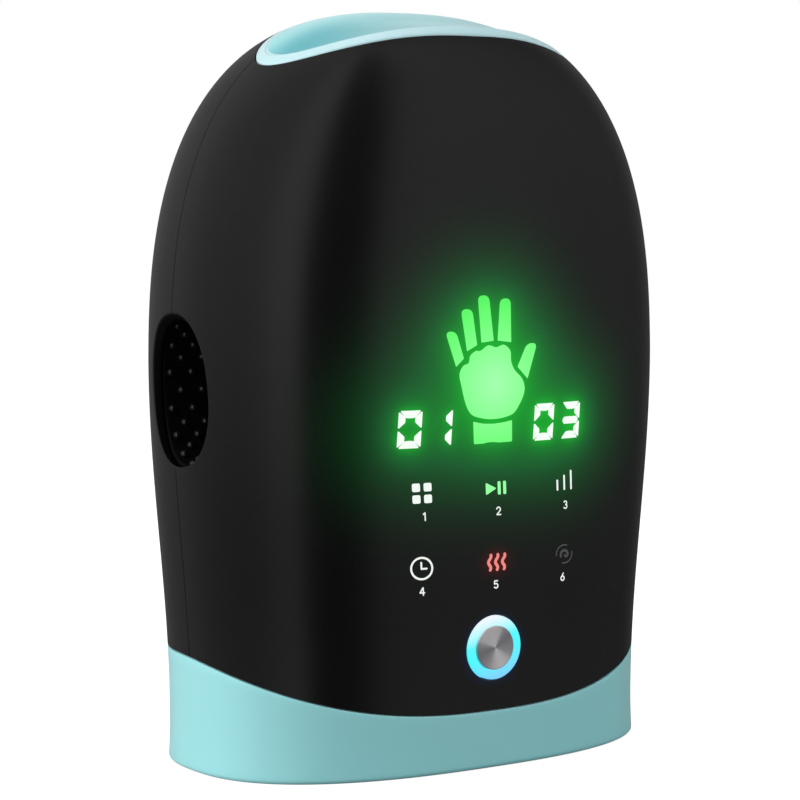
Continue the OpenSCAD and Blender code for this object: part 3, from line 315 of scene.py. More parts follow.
def crown_cut_z(turn, inset):
    """Height at which the skin meets the upright edge of the inlay's opening, by halving."""
    low, high = WIDEST_Z + 0 * turn, BODY_H - inset + 0 * turn
    for _ in range(HALVINGS):
        mid = (low + high) / 2
        p = skin(turn, mid, inset)
        inside = (p[..., 0] / (INLAY_W / 2 + GAP)) ** 2 + ((p[..., 1] + INLAY_FRONT) / (INLAY_D / 2 + GAP)) ** 2 < 1
        low, high = np.where(inside, low, mid), np.where(inside, mid, high)
    return (low + high) / 2


# Mesh helpers

def unit(vectors):
    """Vectors divided by their lengths."""
    return vectors / np.linalg.norm(vectors, axis=-1, keepdims=True)


def full_turn(count):
    """Angles spread evenly over a whole turn."""
    return np.linspace(0, 2 * np.pi, count, endpoint=False)


def rounding(start, end, count):
    """Points of a rounded edge of radius 1: 1 - sin a and 1 - cos a, for angles between two in degrees."""
    return [(1 - math.sin(a), 1 - math.cos(a)) for a in np.radians(np.linspace(start, end, count))]


def add_piece(name, points, faces, body, slot, stands_for=(), smooth=True):
    """Puts points and faces into a mesh object that rides on a body, where one is named."""
    mesh = bpy.data.meshes.new(name)
    mesh.from_pydata(np.asarray(points).tolist(), [], [tuple(int(i) for i in f) for f in faces])
    mesh.update()
    mesh.polygons.foreach_set("use_smooth", np.full(len(mesh.polygons), smooth))
    piece = linked(name, mesh)
    mesh.materials.append(FINISHES[slot])
    if body:
        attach(piece, body)
    if stands_for:
        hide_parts(*stands_for)
    return piece


def add_second_finish(piece, slot, second):
    """Gives some faces another finish: second holds 1 for them and 0 for the rest."""
    piece.data.materials.append(FINISHES[slot])
    piece.data.polygons.foreach_set("material_index", np.asarray(second, np.int32))


def grid_faces(rows, columns, start=0, close_rows=False):
    """Quads of a grid of points stored row by row, whose rows are closed rings."""
    r = np.arange(rows if close_rows else rows - 1)[:, None]
    c = np.arange(columns)[None, :]
    near, far = r * columns, ((r + 1) % rows) * columns
    ahead = (c + 1) % columns
    return (np.stack([near + c, near + ahead, far + ahead, far + c], -1).reshape(-1, 4) + start).tolist()


def ring_piece(name, rows, body, slot):
    """Piece from rings of points that close on themselves both ways."""
    faces = grid_faces(*rows.shape[:2], close_rows=True)
    return add_piece(name, rows.reshape(-1, 3), faces, body, slot, [name])


def capped(rows):
    """Closed surface from rings of points: the first and last ring are single points, given as whole rings."""
    count, columns = rows.shape[:2]
    points = np.concatenate([rows[0, :1], rows[1:-1].reshape(-1, 3), rows[-1, :1]])
    faces = grid_faces(count - 2, columns, 1)
    here, there = np.arange(columns), (np.arange(columns) + 1) % columns
    last = len(points) - 1
    faces += [(0, 1 + j, 1 + i) for i, j in zip(here, there)]
    faces += [(last, last - columns + i, last - columns + j) for i, j in zip(here, there)]
    return points, faces


def lathe_y(profile, x, z, segments=96):
    """Profile of (radius, y) pairs turned about an axis along Y through (x, z)."""
    profile = np.asarray(profile, float)
    turn, radius, y = full_turn(segments), profile[:, :1], profile[:, 1:]
    return np.stack([x + radius * np.cos(turn), y + 0 * turn, z + radius * np.sin(turn)], -1)


def join(parts):
    """One list of points and one of faces from several."""
    points, faces, start = [], [], 0
    for p, f in parts:
        points.append(np.asarray(p))
        faces += [tuple(i + start for i in face) for face in f]
        start += len(p)
    return np.concatenate(points), faces


def bent(start, corner, end, steps):
    """Quadratic curve from a start to an end that leans to a corner: (1-t)^2 s + 2t(1-t) c + t^2 e."""
    t = np.linspace(0, 1, steps + 1)[:, None]
    return (1 - t) ** 2 * start + 2 * t * (1 - t) * corner + t ** 2 * end


def rounded_profile(points, radii, steps=4):
    """Path whose inner corners are curves from a radius before each corner to a radius after it."""
    points = np.asarray(points, float)
    out = [points[:1]]
    for before, here, after, radius in zip(points, points[1:], points[2:], radii[1:]):
        u, v = unit(before - here), unit(after - here)
        out.append(bent(here + u * radius, here, here + v * radius, steps) if radius else here[None])
    return np.concatenate(out + [points[-1:]])


def inside_loop(points, loop):
    """Whether each point lies in the closed loop, by counting crossings."""
    x, y = points[:, :1], points[:, 1:]
    x0, y0 = loop[:, 0], loop[:, 1]
    x1, y1 = np.roll(x0, -1), np.roll(y0, -1)
    spans = (y0 > y) != (y1 > y)
    with np.errstate(divide="ignore", invalid="ignore"):
        crossing = x0 + (y - y0) * (x1 - x0) / (y1 - y0)
    return (np.sum(spans & (x < crossing), 1) % 2).astype(bool)


def far_from(points, others, least):
    """Which points lie farther than a distance from all of the others."""
    nearest = [np.min(np.sum((part[:, None] - others) ** 2, 2), 1) for part in np.array_split(points, 16)]
    return np.concatenate(nearest) > least ** 2


# Lit symbols: outlines and paths are (x, z) in millimetres on the front

def soft_corners(points, cut, steps=6):
    """Closed outline with rounded corners: a quadratic curve from a little before each corner to a little after."""
    corner = np.asarray(points, float)
    back, ahead = np.roll(corner, 1, 0) - corner, np.roll(corner, -1, 0) - corner
    back_length, ahead_length = (np.linalg.norm(v, axis=1)[:, None] for v in (back, ahead))
    cut = np.broadcast_to(np.asarray(cut, float), len(corner))[:, None]
    start = corner + back * np.minimum(cut / back_length, 0.5)
    end = corner + ahead * np.minimum(cut / ahead_length, 0.5)
    return tidy_loop(bent(start[:, None], corner[:, None], end[:, None], steps).reshape(-1, 2))


def tidy_loop(loop):
    """The loop without points that repeat the one before."""
    step = np.linalg.norm(loop - np.roll(loop, 1, 0), axis=1)
    return loop[step > 1e-3]


def smooth_loop(points, steps=8):
    """Closed Catmull-Rom curve through the points."""
    p = np.asarray(points, float)[:, None]
    before, after, beyond = np.roll(p, 1, 0), np.roll(p, -1, 0), np.roll(p, -2, 0)
    t = np.linspace(0, 1, steps, endpoint=False)[None, :, None]
    curve = 0.5 * (2 * p + (after - before) * t + (2 * before - 5 * p + 4 * after - beyond) * t ** 2
                   + (3 * p - before - 3 * after + beyond) * t ** 3)
    return curve.reshape(-1, 2)


FINGERS = [
    [(-15.0, 112.1), (-12.5, 114.3), (-15.0, 121.7), (-18.4, 121.7)],
    [(-11.5, 116.2), (-8.2, 117.8), (-9.8, 127.6), (-13.5, 127.6)],
    [(-6.8, 118.4), (-2.7, 118.8), (-4.3, 131.2), (-8.0, 131.2)],
    [(-1.4, 118.8), (3.2, 118.2), (3.0, 130.2), (-0.6, 130.2)],
    [(5.4, 111.4), (8.9, 108.0), (12.2, 117.7), (8.6, 117.7)],
]
FINGER_CUTS = (0.25, 0.25, 1.7, 1.7)
PALM = [(-13.9, 110.1), (-13.3, 107.0), (-11.8, 101.9), (-9.9, 99.0), (-6.5, 97.8), (-2.8, 97.4), (1.0, 97.7),
        (4.2, 98.7), (6.0, 100.8), (7.4, 103.2), (7.9, 105.6), (6.9, 108.2), (4.4, 110.6), (3.2, 113.0),
        (2.9, 115.9), (0.7, 117.6), (-1.9, 117.0), (-4.5, 117.6), (-7.1, 116.2), (-8.6, 116.2), (-10.4, 115.0),
        (-11.0, 113.0), (-12.7, 112.3)]
WRIST = [(-8.9, 90.8), (3.9, 90.9), (3.7, 96.8), (0.6, 96.3), (-2.8, 96.1), (-6.2, 96.3), (-9.3, 97.0)]


def hand_shapes():
    """Pictogram of an open hand: five fingers, the palm and the wrist."""
    fingers = [soft_corners(f, FINGER_CUTS) for f in FINGERS]
    return fingers + [smooth_loop(PALM), soft_corners(WRIST, (0.5, 0.5, 0.3, 1, 1, 1, 0.3))]


FIGURE_W, FIGURE_H, FIGURE_Z = 7.0, 10.2, 95.75
FIGURE_BAR, FIGURE_MIDDLE = 2.05, 1.0
FIGURE_SLANT = 0.05
FIGURE_GAP, FIGURE_SIDE_GAP = 0.22, 0.42
FIGURES = [(-29.0, "abcdef"), (-19.6, "bc"), (14.9, "abcdef"), (24.7, "abgcd")]


def figure_bar(name):
    """One bar of a seven-bar figure: straight outside, cut at 45 degrees at its ends, and swollen inwards."""
    upright = name in "bcef"
    half = FIGURE_H / 4 - FIGURE_GAP if upright else FIGURE_W / 2 - FIGURE_SIDE_GAP
    along = np.linspace(-half + FIGURE_GAP, half - FIGURE_GAP, 25)
    swell = np.minimum(FIGURE_BAR * np.sqrt(1 - (along / half) ** 2) ** 0.6, (half - np.abs(along)) * 1.15 + 0.1)
    if name == "g":
        swell = np.minimum(swell, FIGURE_MIDDLE)
        return np.concatenate([np.stack([along, -swell], -1), np.stack([along, swell], -1)[::-1]])
    bar = np.concatenate([np.stack([along, -swell], -1), np.stack([along, 0 * along], -1)[::-1]])
    if name in "ad":
        return (bar + (0, FIGURE_H / 2)) * (1, 1 if name == "a" else -1)
    side = bar[:, ::-1] + (FIGURE_W / 2, FIGURE_H / 4)
    return side * (-1 if name in "ef" else 1, -1 if name in "ce" else 1)


def anticlockwise(loop):
    """The loop, turned round if its area by the cross products of its points comes out below 0."""
    x, z = loop[:, 0], loop[:, 1]
    return loop if np.sum(x * np.roll(z, -1) - np.roll(x, -1) * z) > 0 else loop[::-1]


def figure_shapes():
    """Bars of all figures, moved to their places and slanted by a share of their height."""
    bars = [(centre, anticlockwise(tidy_loop(figure_bar(name)))) for centre, names in FIGURES for name in names]
    return [bar + np.stack([bar[:, 1] * FIGURE_SLANT + centre, np.full(len(bar), FIGURE_Z)], -1)
            for centre, bar in bars]


GLOW_STEP = 0.5
GLOW_CURVES = [(1.3, 0.1, 0.35), (4, 0.26, 0.62), (12, 0.55, 1.30)]
GLOW_LEVELS = [0, 0.1, 0.5, 1.0]
GLOW_COLOURS = [(0, 0, 0), (0.001, 0.1, 0.017), (0, 0.45, 0.02), (0.02, 0.9, 0.06)]
HEAT_AT, HEAT_REACH, HEAT_FADE, HEAT_GLOW = (0, 57.7), (4.6, 3.6), 1.6, (0.06, 0.0, 0.0)
HALO_REACH, HALO_GLOW = 2.2, (0.0, 0.005, 0.024)
GLOW_X, GLOW_Z = (-70, 70), (30, 175)


def blurred_masks(x, z):
    """Masks of the lit hand and figures over a grid in mm, each blurred by bell curves and added up."""
    grid = np.stack([v.ravel() for v in np.meshgrid(x, z)], -1)
    masks = [np.any([inside_loop(grid, s) for s in shapes], axis=0).reshape(len(z), len(x))
             for shapes in (hand_shapes(), figure_shapes())]
    level = 0
    for width, hand_share, figure_share in GLOW_CURVES:
        bell_x, bell_z = (np.exp(-((v[:, None] - v) / width) ** 2 / 2) for v in (x, z))
        scale = GLOW_STEP ** 2 / (2 * np.pi * width ** 2)
        level = level + bell_z @ (hand_share * masks[0] + figure_share * masks[1]) @ bell_x * scale
    return level


def display_glow(points):
    """Light that spreads in the shell at each point in mm: green from the blurred shapes, a red halo round the
    heat symbol by a bell curve, and a blue one that fades from the button's ring by the square."""
    x, z = np.arange(*GLOW_X, GLOW_STEP), np.arange(*GLOW_Z, GLOW_STEP)
    level = blurred_masks(x, z)
    across = np.clip((points[:, 0] - x[0]) / GLOW_STEP, 0, len(x) - 1.001)
    up = np.clip((points[:, 2] - z[0]) / GLOW_STEP, 0, len(z) - 1.001)
    i, j = up.astype(int), across.astype(int)
    a, b = up - i, across - j
    green = ((1 - a) * ((1 - b) * level[i, j] + b * level[i, j + 1])
             + a * ((1 - b) * level[i + 1, j] + b * level[i + 1, j + 1]))
    colour = np.stack([np.interp(green, GLOW_LEVELS, [c[k] for c in GLOW_COLOURS]) for k in range(3)], -1)
    off = (points[:, [0, 2]] - HEAT_AT) / HEAT_REACH
    colour += np.exp(-np.sum(off ** 2, 1) * HEAT_FADE)[:, None] * HEAT_GLOW
    ring = np.hypot(points[:, 0], points[:, 2] - BUTTON_Z / MM) - RING_R / MM
    return colour + (np.clip(1 - ring / HALO_REACH, 0, 1) ** 2)[:, None] * HALO_GLOW


LIT_PROUD, LIT_SUNK = 0.03, 0.1
CAP_END = 0.999
SHEAR = 0.08


def on_front(flat, proud):
    """Points of the front's skin, from (x, z) and a step outwards along Y, all in millimetres."""
    x, z = flat[:, 0] * MM, flat[:, 1] * MM
    return np.stack([x, -skin_y(x, z) - proud * MM, z], -1)


def lit_patch(outline, step=1.2):
    """Closed thin plate on the skin over an outline: its two faces are triangles, and a band joins them."""
    loop = anticlockwise(np.asarray(outline, float))
    low, high = loop.min(0), loop.max(0)
    grid = np.stack([v.ravel() for v in np.meshgrid(*(np.arange(low[k], high[k], step) for k in (0, 1)))], -1)
    grid = grid[inside_loop(grid, loop)]
    grid = grid[far_from(grid, loop, 0.5 * step)] if len(grid) else grid
    flat = np.concatenate([loop, grid])
    edge = [(i, (i + 1) % len(loop)) for i in range(len(loop))]
    made = delaunay_2d_cdt([Vector(p) for p in flat], edge, [], 0, 1e-9)
    tris = np.array(made[2])
    tris = tris[inside_loop(flat[tris].mean(1), loop)]
    count, ring = len(flat), np.arange(len(loop))
    band = np.stack([ring, ring + count, np.roll(ring, -1) + count, np.roll(ring, -1)], -1)
    points = np.concatenate([on_front(flat, LIT_PROUD), on_front(flat, -LIT_SUNK)])
    return points, tris.tolist() + (tris[:, ::-1] + count).tolist() + band.tolist()


def lit_stroke(path, width, closed=False):
    """Closed thin band on the skin along a path of (x, z), with a rectangular section and round ends."""
    path = np.asarray(path, float)
    half = np.full(len(path), width / 2)
    if closed:
        ahead = np.roll(path, -1, 0) - np.roll(path, 1, 0)
    else:
        first, last = unit(path[0] - path[1]), unit(path[-1] - path[-2])
        cap = np.sin(np.linspace(0, np.pi / 2, 6))[1:, None]
        cap[-1] = CAP_END
        ends = cap * width / 2
        path = np.concatenate([path[0] + first * ends[::-1], path, path[-1] + last * ends])
        round_off = width / 2 * np.sqrt(1 - cap[:, 0] ** 2)
        half = np.concatenate([round_off[::-1], half, round_off])
        ahead = np.gradient(path, axis=0)
    ahead = unit(ahead)
    side = np.stack([-ahead[:, 1], ahead[:, 0]], -1) * half[:, None]
    left, right = path + side, path - side
    rows = np.stack([on_front(left, LIT_PROUD), on_front(left, -LIT_SUNK),
                     on_front(right, -LIT_SUNK), on_front(right, LIT_PROUD)], 1)
    faces = grid_faces(len(rows), 4, close_rows=closed)
    if not closed:
        last = 4 * len(rows)
        faces += [(3, 2, 1, 0), (last - 4, last - 3, last - 2, last - 1)]
    return rows.reshape(-1, 3), faces


def arc(x, z, radius, start, end, count=40):
    """Points of a circle between two angles in degrees."""
    turn = np.radians(np.linspace(start, end, count))
    return np.stack([x + radius * np.cos(turn), z + radius * np.sin(turn)], -1)


def box_outline(x, z, wide, tall, cut=0.35, steps=3):
    """Rectangle about (x, z) with rounded corners."""
    return soft_corners([(x - wide / 2, z - tall / 2), (x + wide / 2, z - tall / 2),
                         (x + wide / 2, z + tall / 2), (x - wide / 2, z + tall / 2)], cut, steps)


def upright(points, x, z, tall=1.0):
    """Points about (x, z), with their height scaled, sheared so that they stand upright on the bent front."""
    points = np.asarray(points, float) * (1, tall)
    return np.stack([x + points[:, 0] - SHEAR * points[:, 1], z + points[:, 1]], -1)


def heat_wave():
    """Upright wave of one and a quarter turns: x = 0.42 sin(2.5 pi share + 0.6) + 0.06 z, 4.1 high."""
    z = np.linspace(-2.05, 2.05, 28)
    return np.stack([0.42 * np.sin((z + 2.05) / 4.1 * 2.5 * np.pi + 0.6) + 0.06 * z, z], -1)


NUMERALS = {
    1: [[(-0.35, 0.62), (0.15, 1.05), (0.15, -1.05)]],
    2: [[*arc(0, 0.42, 0.63, 165, -25, 12), (-0.62, -1.02), (0.68, -1.02)]],
    3: [[*arc(-0.02, 0.5, 0.54, 150, -75, 12)], [*arc(-0.02, -0.46, 0.6, 75, -150, 12)]],
    4: [[(0.32, -1.05), (0.32, 1.05), (-0.72, -0.42), (0.72, -0.42)]],
    5: [[(0.55, 1.02), (-0.45, 1.02), (-0.52, 0.12), *arc(0, -0.36, 0.64, 128, -150, 14)]],
    6: [[(0.32, 1.05), *arc(0, -0.4, 0.63, 170, 530, 24)]],
}
KEY_X = 23.9
NUMBER_Z = (71.9, 51.4)
ARROW_AT, BARS_AT, SQUARES_AT = (-1.7, 78.25), (-1.7, 78.3), (-24.9, 78.3)
LEVEL_Z, LEVEL_TOPS = 76.1, ((20.7, 79.2), (23.3, 80.4), (25.9, 81.6))
DIAL_AT, HANDS_AT, KNEAD_AT = (-24.25, 57.7), (-24.35, 57.6), (24.2, 57.9)
WAVE_Z, WAVE_X = 57.65, (-2.4, -0.05, 2.3)


def path_lengths(path):
    """Length along the path up to each of its points."""
    return np.concatenate([[0], np.cumsum(np.linalg.norm(np.diff(path, axis=0), axis=1))])


def points_at(path, length, count):
    """Points of the path, spread evenly over its length."""
    at = np.linspace(0, length[-1], count)
    return np.stack([np.interp(at, length, path[:, k]) for k in (0, 1)], -1)


def even_path(points, step=0.12):
    """The path, with points added so that they lie about a step apart."""
    path = np.asarray(points, float)
    length = path_lengths(path)
    return points_at(path, length, max(3, int(length[-1] / step)))


def add_display():
    """Hand, figures, run symbol, keys with their numbers, heat waves and curl, of thin plates and bands."""
    add_lit("hand_symbol", [lit_patch(s) for s in hand_shapes()], "hand_light")
    add_lit("level_figures", [lit_patch(s) for s in figure_shapes()], "figure_light")
    arrow = soft_corners([(-3.1, -1.9), (0.8, 0), (-3.1, 1.9)], 0.5)
    run = [lit_patch(upright(arrow * 0.92, *ARROW_AT))]
    run += [lit_patch(upright(box_outline(x, 0, 1.0, 3.7), *BARS_AT)) for x in (1.65, 3.5)]
    add_lit("run_symbol", run, "run_light")
    squares = [box_outline(dx, dz, 2.4, 2.3, 0.5) for dx in (-1.75, 1.75) for dz in (-1.6, 1.6)]
    keys = [lit_patch(upright(square, *SQUARES_AT)) for square in squares]
    keys += [lit_patch(upright(box_outline(0, (top - LEVEL_Z) / 2, 0.62, top - LEVEL_Z, 0.25), x, LEVEL_Z))
             for x, top in LEVEL_TOPS]
    keys += [lit_stroke(upright(arc(0, 0, 3.2, 0, 355, 72), *DIAL_AT, 0.92), 0.56, closed=True)]
    keys += [lit_stroke(upright(even_path(p), *HANDS_AT), 0.5) for p in ([(0, 1.7), (0, 0)], [(0, 0), (1.6, 0)])]
    for number, strokes in NUMERALS.items():
        row, column = divmod(number - 1, 3)
        place = ((column - 1) * KEY_X, NUMBER_Z[row])
        keys += [lit_stroke(upright(even_path(stroke), *place), 0.36) for stroke in strokes]
    add_lit("key_symbols", keys, "key_light")
    add_lit("heat_symbol", [lit_stroke(upright(heat_wave(), x, WAVE_Z), 0.9) for x in WAVE_X], "heat_light")
    knead = [lit_stroke(upright(arc(0, 0, 3.0, start, start + 115), *KNEAD_AT, 0.86), 0.4) for start in (70, -105)]
    knead += [lit_stroke(upright(arc(0, -0.2, 1.35, 10, 200), *KNEAD_AT, 0.9), 0.75),
              lit_stroke(upright(arc(0.75, -0.2, 0.6, -150, 0), *KNEAD_AT, 0.9), 0.7)]
    add_lit("knead_symbol", knead, "resting_light")


def add_lit(name, parts, finish):
    """Symbol made of several parts, in the display's slot and with its own light."""
    piece = add_piece(name, *join(parts), "housing", "display_light", smooth=False)
    piece.data.materials[0] = FINISHES[finish]


# Shells

SHELL_BEND = math.radians(80)
SHELL_WIDE, SHELL_TALL = 200 * MM, 200 * MM
SHELL_STEP = 1.7 * MM
DISPLAY_STEP = 0.95 * MM
RIM_ROUND = 0.35 * MM
RIM_STEPS = 3
DISPLAY_AT, DISPLAY_REACH = (0.49, 0.36), (0.26, 0.27)


def shell_place(front, u, v, inset=0.0):
    """Point of a half shell: u runs from side to side, and v from the collar's seam to the inlay's edge."""
    turn = np.pi * (u + (1 if front else 0))
    low, high = seam_z(turn) + GAP, crown_cut_z(turn, inset)
    return skin(turn, low + (high - low) * np.sin(SHELL_BEND * v) / math.sin(SHELL_BEND), inset)


def shell_uv(front, x, y, z):
    """The (u, v) of a point of the skin."""
    turn = skin_turn(x, y, z)
    if not front:
        turn = np.where(turn > 1.5 * np.pi, turn - 2 * np.pi, turn)
    low, high = seam_z(turn) + GAP, crown_cut_z(turn, 0.0)
    v = np.arcsin(np.clip((z - low) / (high - low), 0, 1) * math.sin(SHELL_BEND)) / SHELL_BEND
    return np.stack([turn / np.pi - (1 if front else 0), v], -1)


def bulge(v, power):
    """sign(v) |v|^power"""
    return np.sign(v) * np.abs(v) ** power


def thumb_oval(turn, grow=0.0):
    """Superellipse of the thumb hole in y and z, larger by grow all round, and leaning back."""
    y = (THUMB_W / 2 + grow) * bulge(np.cos(turn), 2 / THUMB_SQUARE)
    z = (THUMB_H / 2 + grow) * bulge(np.sin(turn), 2 / THUMB_SQUARE)
    return (y * math.cos(THUMB_LEAN) + z * math.sin(THUMB_LEAN) + THUMB_Y,
            z * math.cos(THUMB_LEAN) - y * math.sin(THUMB_LEAN) + THUMB_Z)


def thumb_arc(front, right):
    """Half of the thumb hole's outline, from its lowest to its highest point on the parting plane."""
    y, z = thumb_oval(np.linspace(0, 2 * np.pi, 2881))
    keep = y < 0 if front else y > 0
    y, z = y[keep], z[keep]
    order = np.argsort(np.arctan2(z - THUMB_Z, np.abs(y)))
    y, z = y[order], z[order]
    y[0] = y[-1] = -1e-9 if front else 1e-9
    side = 1 if right else -1
    return shell_uv(front, side * skin_x(y, z), y, z)


def even_steps(path, step):
    """The path, resampled at about even steps in the shell's own lengths."""
    length = path_lengths(path * [SHELL_WIDE, SHELL_TALL])
    return points_at(path, length, max(2, int(round(length[-1] / step))) + 1)


def shell_outline(front):
    """Outline of a half shell, anticlockwise seen from outside, with both halves of the thumb holes."""
    left, right = thumb_arc(front, not front), thumb_arc(front, front)
    for path, edge in ((left, 0), (right, 1)):
        path[:, 0] = np.clip(path[:, 0], 0, 1)
        path[0, 0] = path[-1, 0] = edge
    corners = [((0, 0), (1, 0)), ((1, 0), right[0]), right, (right[-1], (1, 1)),
               ((1, 1), (0, 1)), ((0, 1), left[-1]), left[::-1], (left[0], (0, 0))]
    stretches = [np.linspace(*path, 400) if len(path) == 2 else path for path in corners]
    return np.concatenate([even_steps(path, 0.8 * SHELL_STEP)[:-1] for path in stretches])


def round_hole(front, x, z, radius, flat=0.0):
    """Outline of a round hole, or of a slot whose straight sides are 2 flat long, clockwise."""
    turn = np.linspace(0, -2 * np.pi, 65)[:-1]
    px = x + radius * np.cos(turn) + flat * np.sign(np.cos(turn))
    pz = z + radius * np.sin(turn)
    py = (-1 if front else 1) * skin_y(px, pz)
    return shell_uv(front, px, py, pz)


def shell_slopes(front, uv, step=1e-4):
    """Change of the surface's point with u and with v."""
    slopes = []
    for k in (0, 1):
        low, high = uv.copy(), uv.copy()
        low[:, k], high[:, k] = np.clip(uv[:, k] - step, 0, 1), np.clip(uv[:, k] + step, 0, 1)
        change = shell_place(front, *high.T) - shell_place(front, *low.T)
        slopes.append(change / (high[:, k] - low[:, k])[:, None])
    return slopes


def inward(front, loop):
    """For each point of an outline, the change of (u, v) that goes one metre into the shell."""
    scale = np.stack([np.linalg.norm(along, axis=1) for along in shell_slopes(front, loop)], -1)
    ahead, behind = unit((np.roll(loop, -1, 0) - loop) * scale), unit((loop - np.roll(loop, 1, 0)) * scale)
    left = unit(np.stack([-(ahead + behind)[:, 1], (ahead + behind)[:, 0]], -1))
    miter = np.clip(np.sum(left * np.stack([-ahead[:, 1], ahead[:, 0]], -1), 1), 0.5, 1)
    return left / miter[:, None] / scale


def rim_rows():
    """(step into the shell, depth below the skin) of each row round a shell's edge, from outside to inside."""
    outer = RIM_ROUND * np.array(rounding(0, 90, RIM_STEPS + 1))
    inner = np.stack([outer[::-1, 0], WALL - outer[::-1, 1]], -1)
    return np.concatenate([outer, inner])


def staggered(step):
    """Rows of points over the layout's unit square, each row moved by half a step from the one before."""
    u, v = np.meshgrid(np.arange(0, 1, step / SHELL_WIDE), np.arange(0, 1, step / SHELL_TALL))
    u = u + (np.arange(len(u)) % 2)[:, None] * step / SHELL_WIDE / 2
    return np.stack([u.ravel(), v.ravel()], -1)


def in_display(uv):
    """Points of the layout in the part of the front that the display's light reaches."""
    return np.all(np.abs(uv - DISPLAY_AT) < DISPLAY_REACH, axis=1)


def between(points, edges):
    """Whether each point lies inside the first outline and outside the others."""
    return inside_loop(points, edges[0]) & ~np.any([inside_loop(points, hole) for hole in edges[1:]], axis=0)


def half_shell(front, holes):
    """Closed half shell: two skins of triangles over one flat layout, joined by rounded edges."""
    loops = [shell_outline(front)] + holes
    steps = [inward(front, loop) for loop in loops]
    edges = [loop + step * RIM_ROUND for loop, step in zip(loops, steps)]
    size = np.array([SHELL_WIDE, SHELL_TALL])
    field = staggered(SHELL_STEP)
    if front:
        fine = staggered(DISPLAY_STEP)
        field = np.concatenate([field[~in_display(field)], fine[in_display(fine)]])
    field = field[between(field, edges)]
    field = field[far_from(field * size, np.concatenate(edges) * size, 0.55 * SHELL_STEP)]
    uv = np.concatenate(edges + [field])
    rings, count = [], 0
    for edge in edges:
        rings.append(np.arange(count, count + len(edge)))
        count += len(edge)
    links = [(int(a), int(b)) for ring in rings for a, b in zip(ring, np.roll(ring, -1))]
    made = delaunay_2d_cdt([Vector(p) for p in uv * size], links, [], 0, 1e-9)
    assert len(made[0]) == len(uv), "the layout's points moved"
    tris = np.array(made[2])
    tris = tris[between(uv[tris].mean(1), edges)]
    count = len(uv)
    points = [shell_place(front, *uv.T), shell_place(front, *uv.T, WALL)]
    faces = tris.tolist() + (tris[:, ::-1] + count).tolist()
    finish = [0] * len(tris) + [1] * len(tris)
    start = 2 * count
    for loop, step, ring in zip(loops, steps, rings):
        rows = [ring]
        for into, depth in rim_rows()[1:-1]:
            points.append(shell_place(front, *(loop + step * into).T, depth))
            rows.append(start + ring - ring[0])
            start += len(ring)
        rows.append(count + ring)
        for k, (upper, lower) in enumerate(zip(rows[:-1], rows[1:])):
            faces += np.stack([upper, lower, np.roll(lower, -1), np.roll(upper, -1)], -1).tolist()
            finish += [int(k >= RIM_STEPS)] * len(ring)
    outward = unit(np.cross(*shell_slopes(front, uv)))
    return np.concatenate(points), faces, outward, count, finish


def add_shell(name, front, holes):
    """Half shell with a satin outside, and with matt walls in its holes and a matt inside."""
    points, faces, outward, count, finish = half_shell(front, holes)
    piece = add_piece(name, points, faces, "housing", "black_shell", [name])
    add_second_finish(piece, "shell_edge", finish)
    normals = np.empty(len(points) * 3, np.float32)
    piece.data.vertex_normals.foreach_get("vector", normals)
    normals = normals.reshape(-1, 3)
    normals[:count] = outward
    piece.data.normals_split_custom_set_from_vertices(normals.tolist())
    if front:
        colour = np.zeros((len(points), 4), np.float32)
        colour[:count, :3] = display_glow(points[:count] / MM)
        piece.data.attributes.new("glow", "FLOAT_COLOR", "POINT").data.foreach_set("color", colour.ravel())


# Finishes

TONE_SCALE = 30
PALM_AT, HAND_REACH = (-2 * MM, 0, 107 * MM), 26 * MM
# Teal under painted shade for the inlay's dish, the teal itself, and teal under a painted highlight for the inlay's
# rim band
TEAL_PAINTED_SHADE, TEAL, TEAL_PAINTED_HIGHLIGHT = (0.05, 0.38, 0.43), (0.29, 0.71, 0.74), (0.5, 0.72, 0.765)


def dress(tree, shader, **sockets):
    """Values or links for a shader's sockets, whose names have _ in place of each space."""
    feed(tree, shader, {name.replace("_", " "): value for name, value in sockets.items()})


def own_place(tree):
    """The object's own coordinates."""
    return add_node(tree, "TexCoord").outputs["Object"]


def moulded_grain():
    """Fine moulded texture: roughness that wanders a little, and the height of a fine noise."""
    group = bpy.data.node_groups.new("moulded_grain", "ShaderNodeTree")
    for name, value in (("Scale", 900.0), ("Roughness", 0.4), ("Spread", 0.05)):
        socket = group.interface.new_socket(name, in_out="INPUT", socket_type="NodeSocketFloat")
        socket.default_value = value
    for name in ("Roughness", "Height"):
        group.interface.new_socket(name, in_out="OUTPUT", socket_type="NodeSocketFloat")
    given, out = group.nodes.new("NodeGroupInput"), group.nodes.new("NodeGroupOutput")
    where = own_place(group)
    fine = add_node(group, "TexNoise", {"Vector": where, "Scale": given.outputs["Scale"], "Detail": 2})
    coarse = add_node(group, "TexNoise", {"Vector": where, "Scale": 35, "Detail": 3})
    low, high = (calc(group, way, given.outputs["Roughness"], given.outputs["Spread"]) for way in ("SUBTRACT", "ADD"))
    spread = add_node(group, "MapRange", {"Value": coarse.outputs["Fac"], "From Min": 0.3, "From Max": 0.7,
                                          "To Min": low, "To Max": high})
    feed(group, out, {"Roughness": spread.outputs[0], "Height": fine.outputs["Fac"]})
    return group


def new_finish(name):
    """Material, its node tree and its shader."""
    made = bpy.data.materials.new(name)
    made.use_nodes = True
    return made, made.node_tree, made.node_tree.nodes["Principled BSDF"]


def noise_at(tree, scale):
    """Noise over the object's own coordinates."""
    return add_node(tree, "TexNoise", {"Vector": own_place(tree), "Scale": scale}).outputs["Fac"]


def toned(tree, shader, base, spread=0.06):
    """Colour that wanders by a few hundredths over the surface."""
    ends = [(0.3, [c * (1 - spread) for c in base]), (0.7, [min(1, c * (1 + spread)) for c in base])]
    dress(tree, shader, Base_Color=colour_ramp(tree, noise_at(tree, TONE_SCALE), ends))


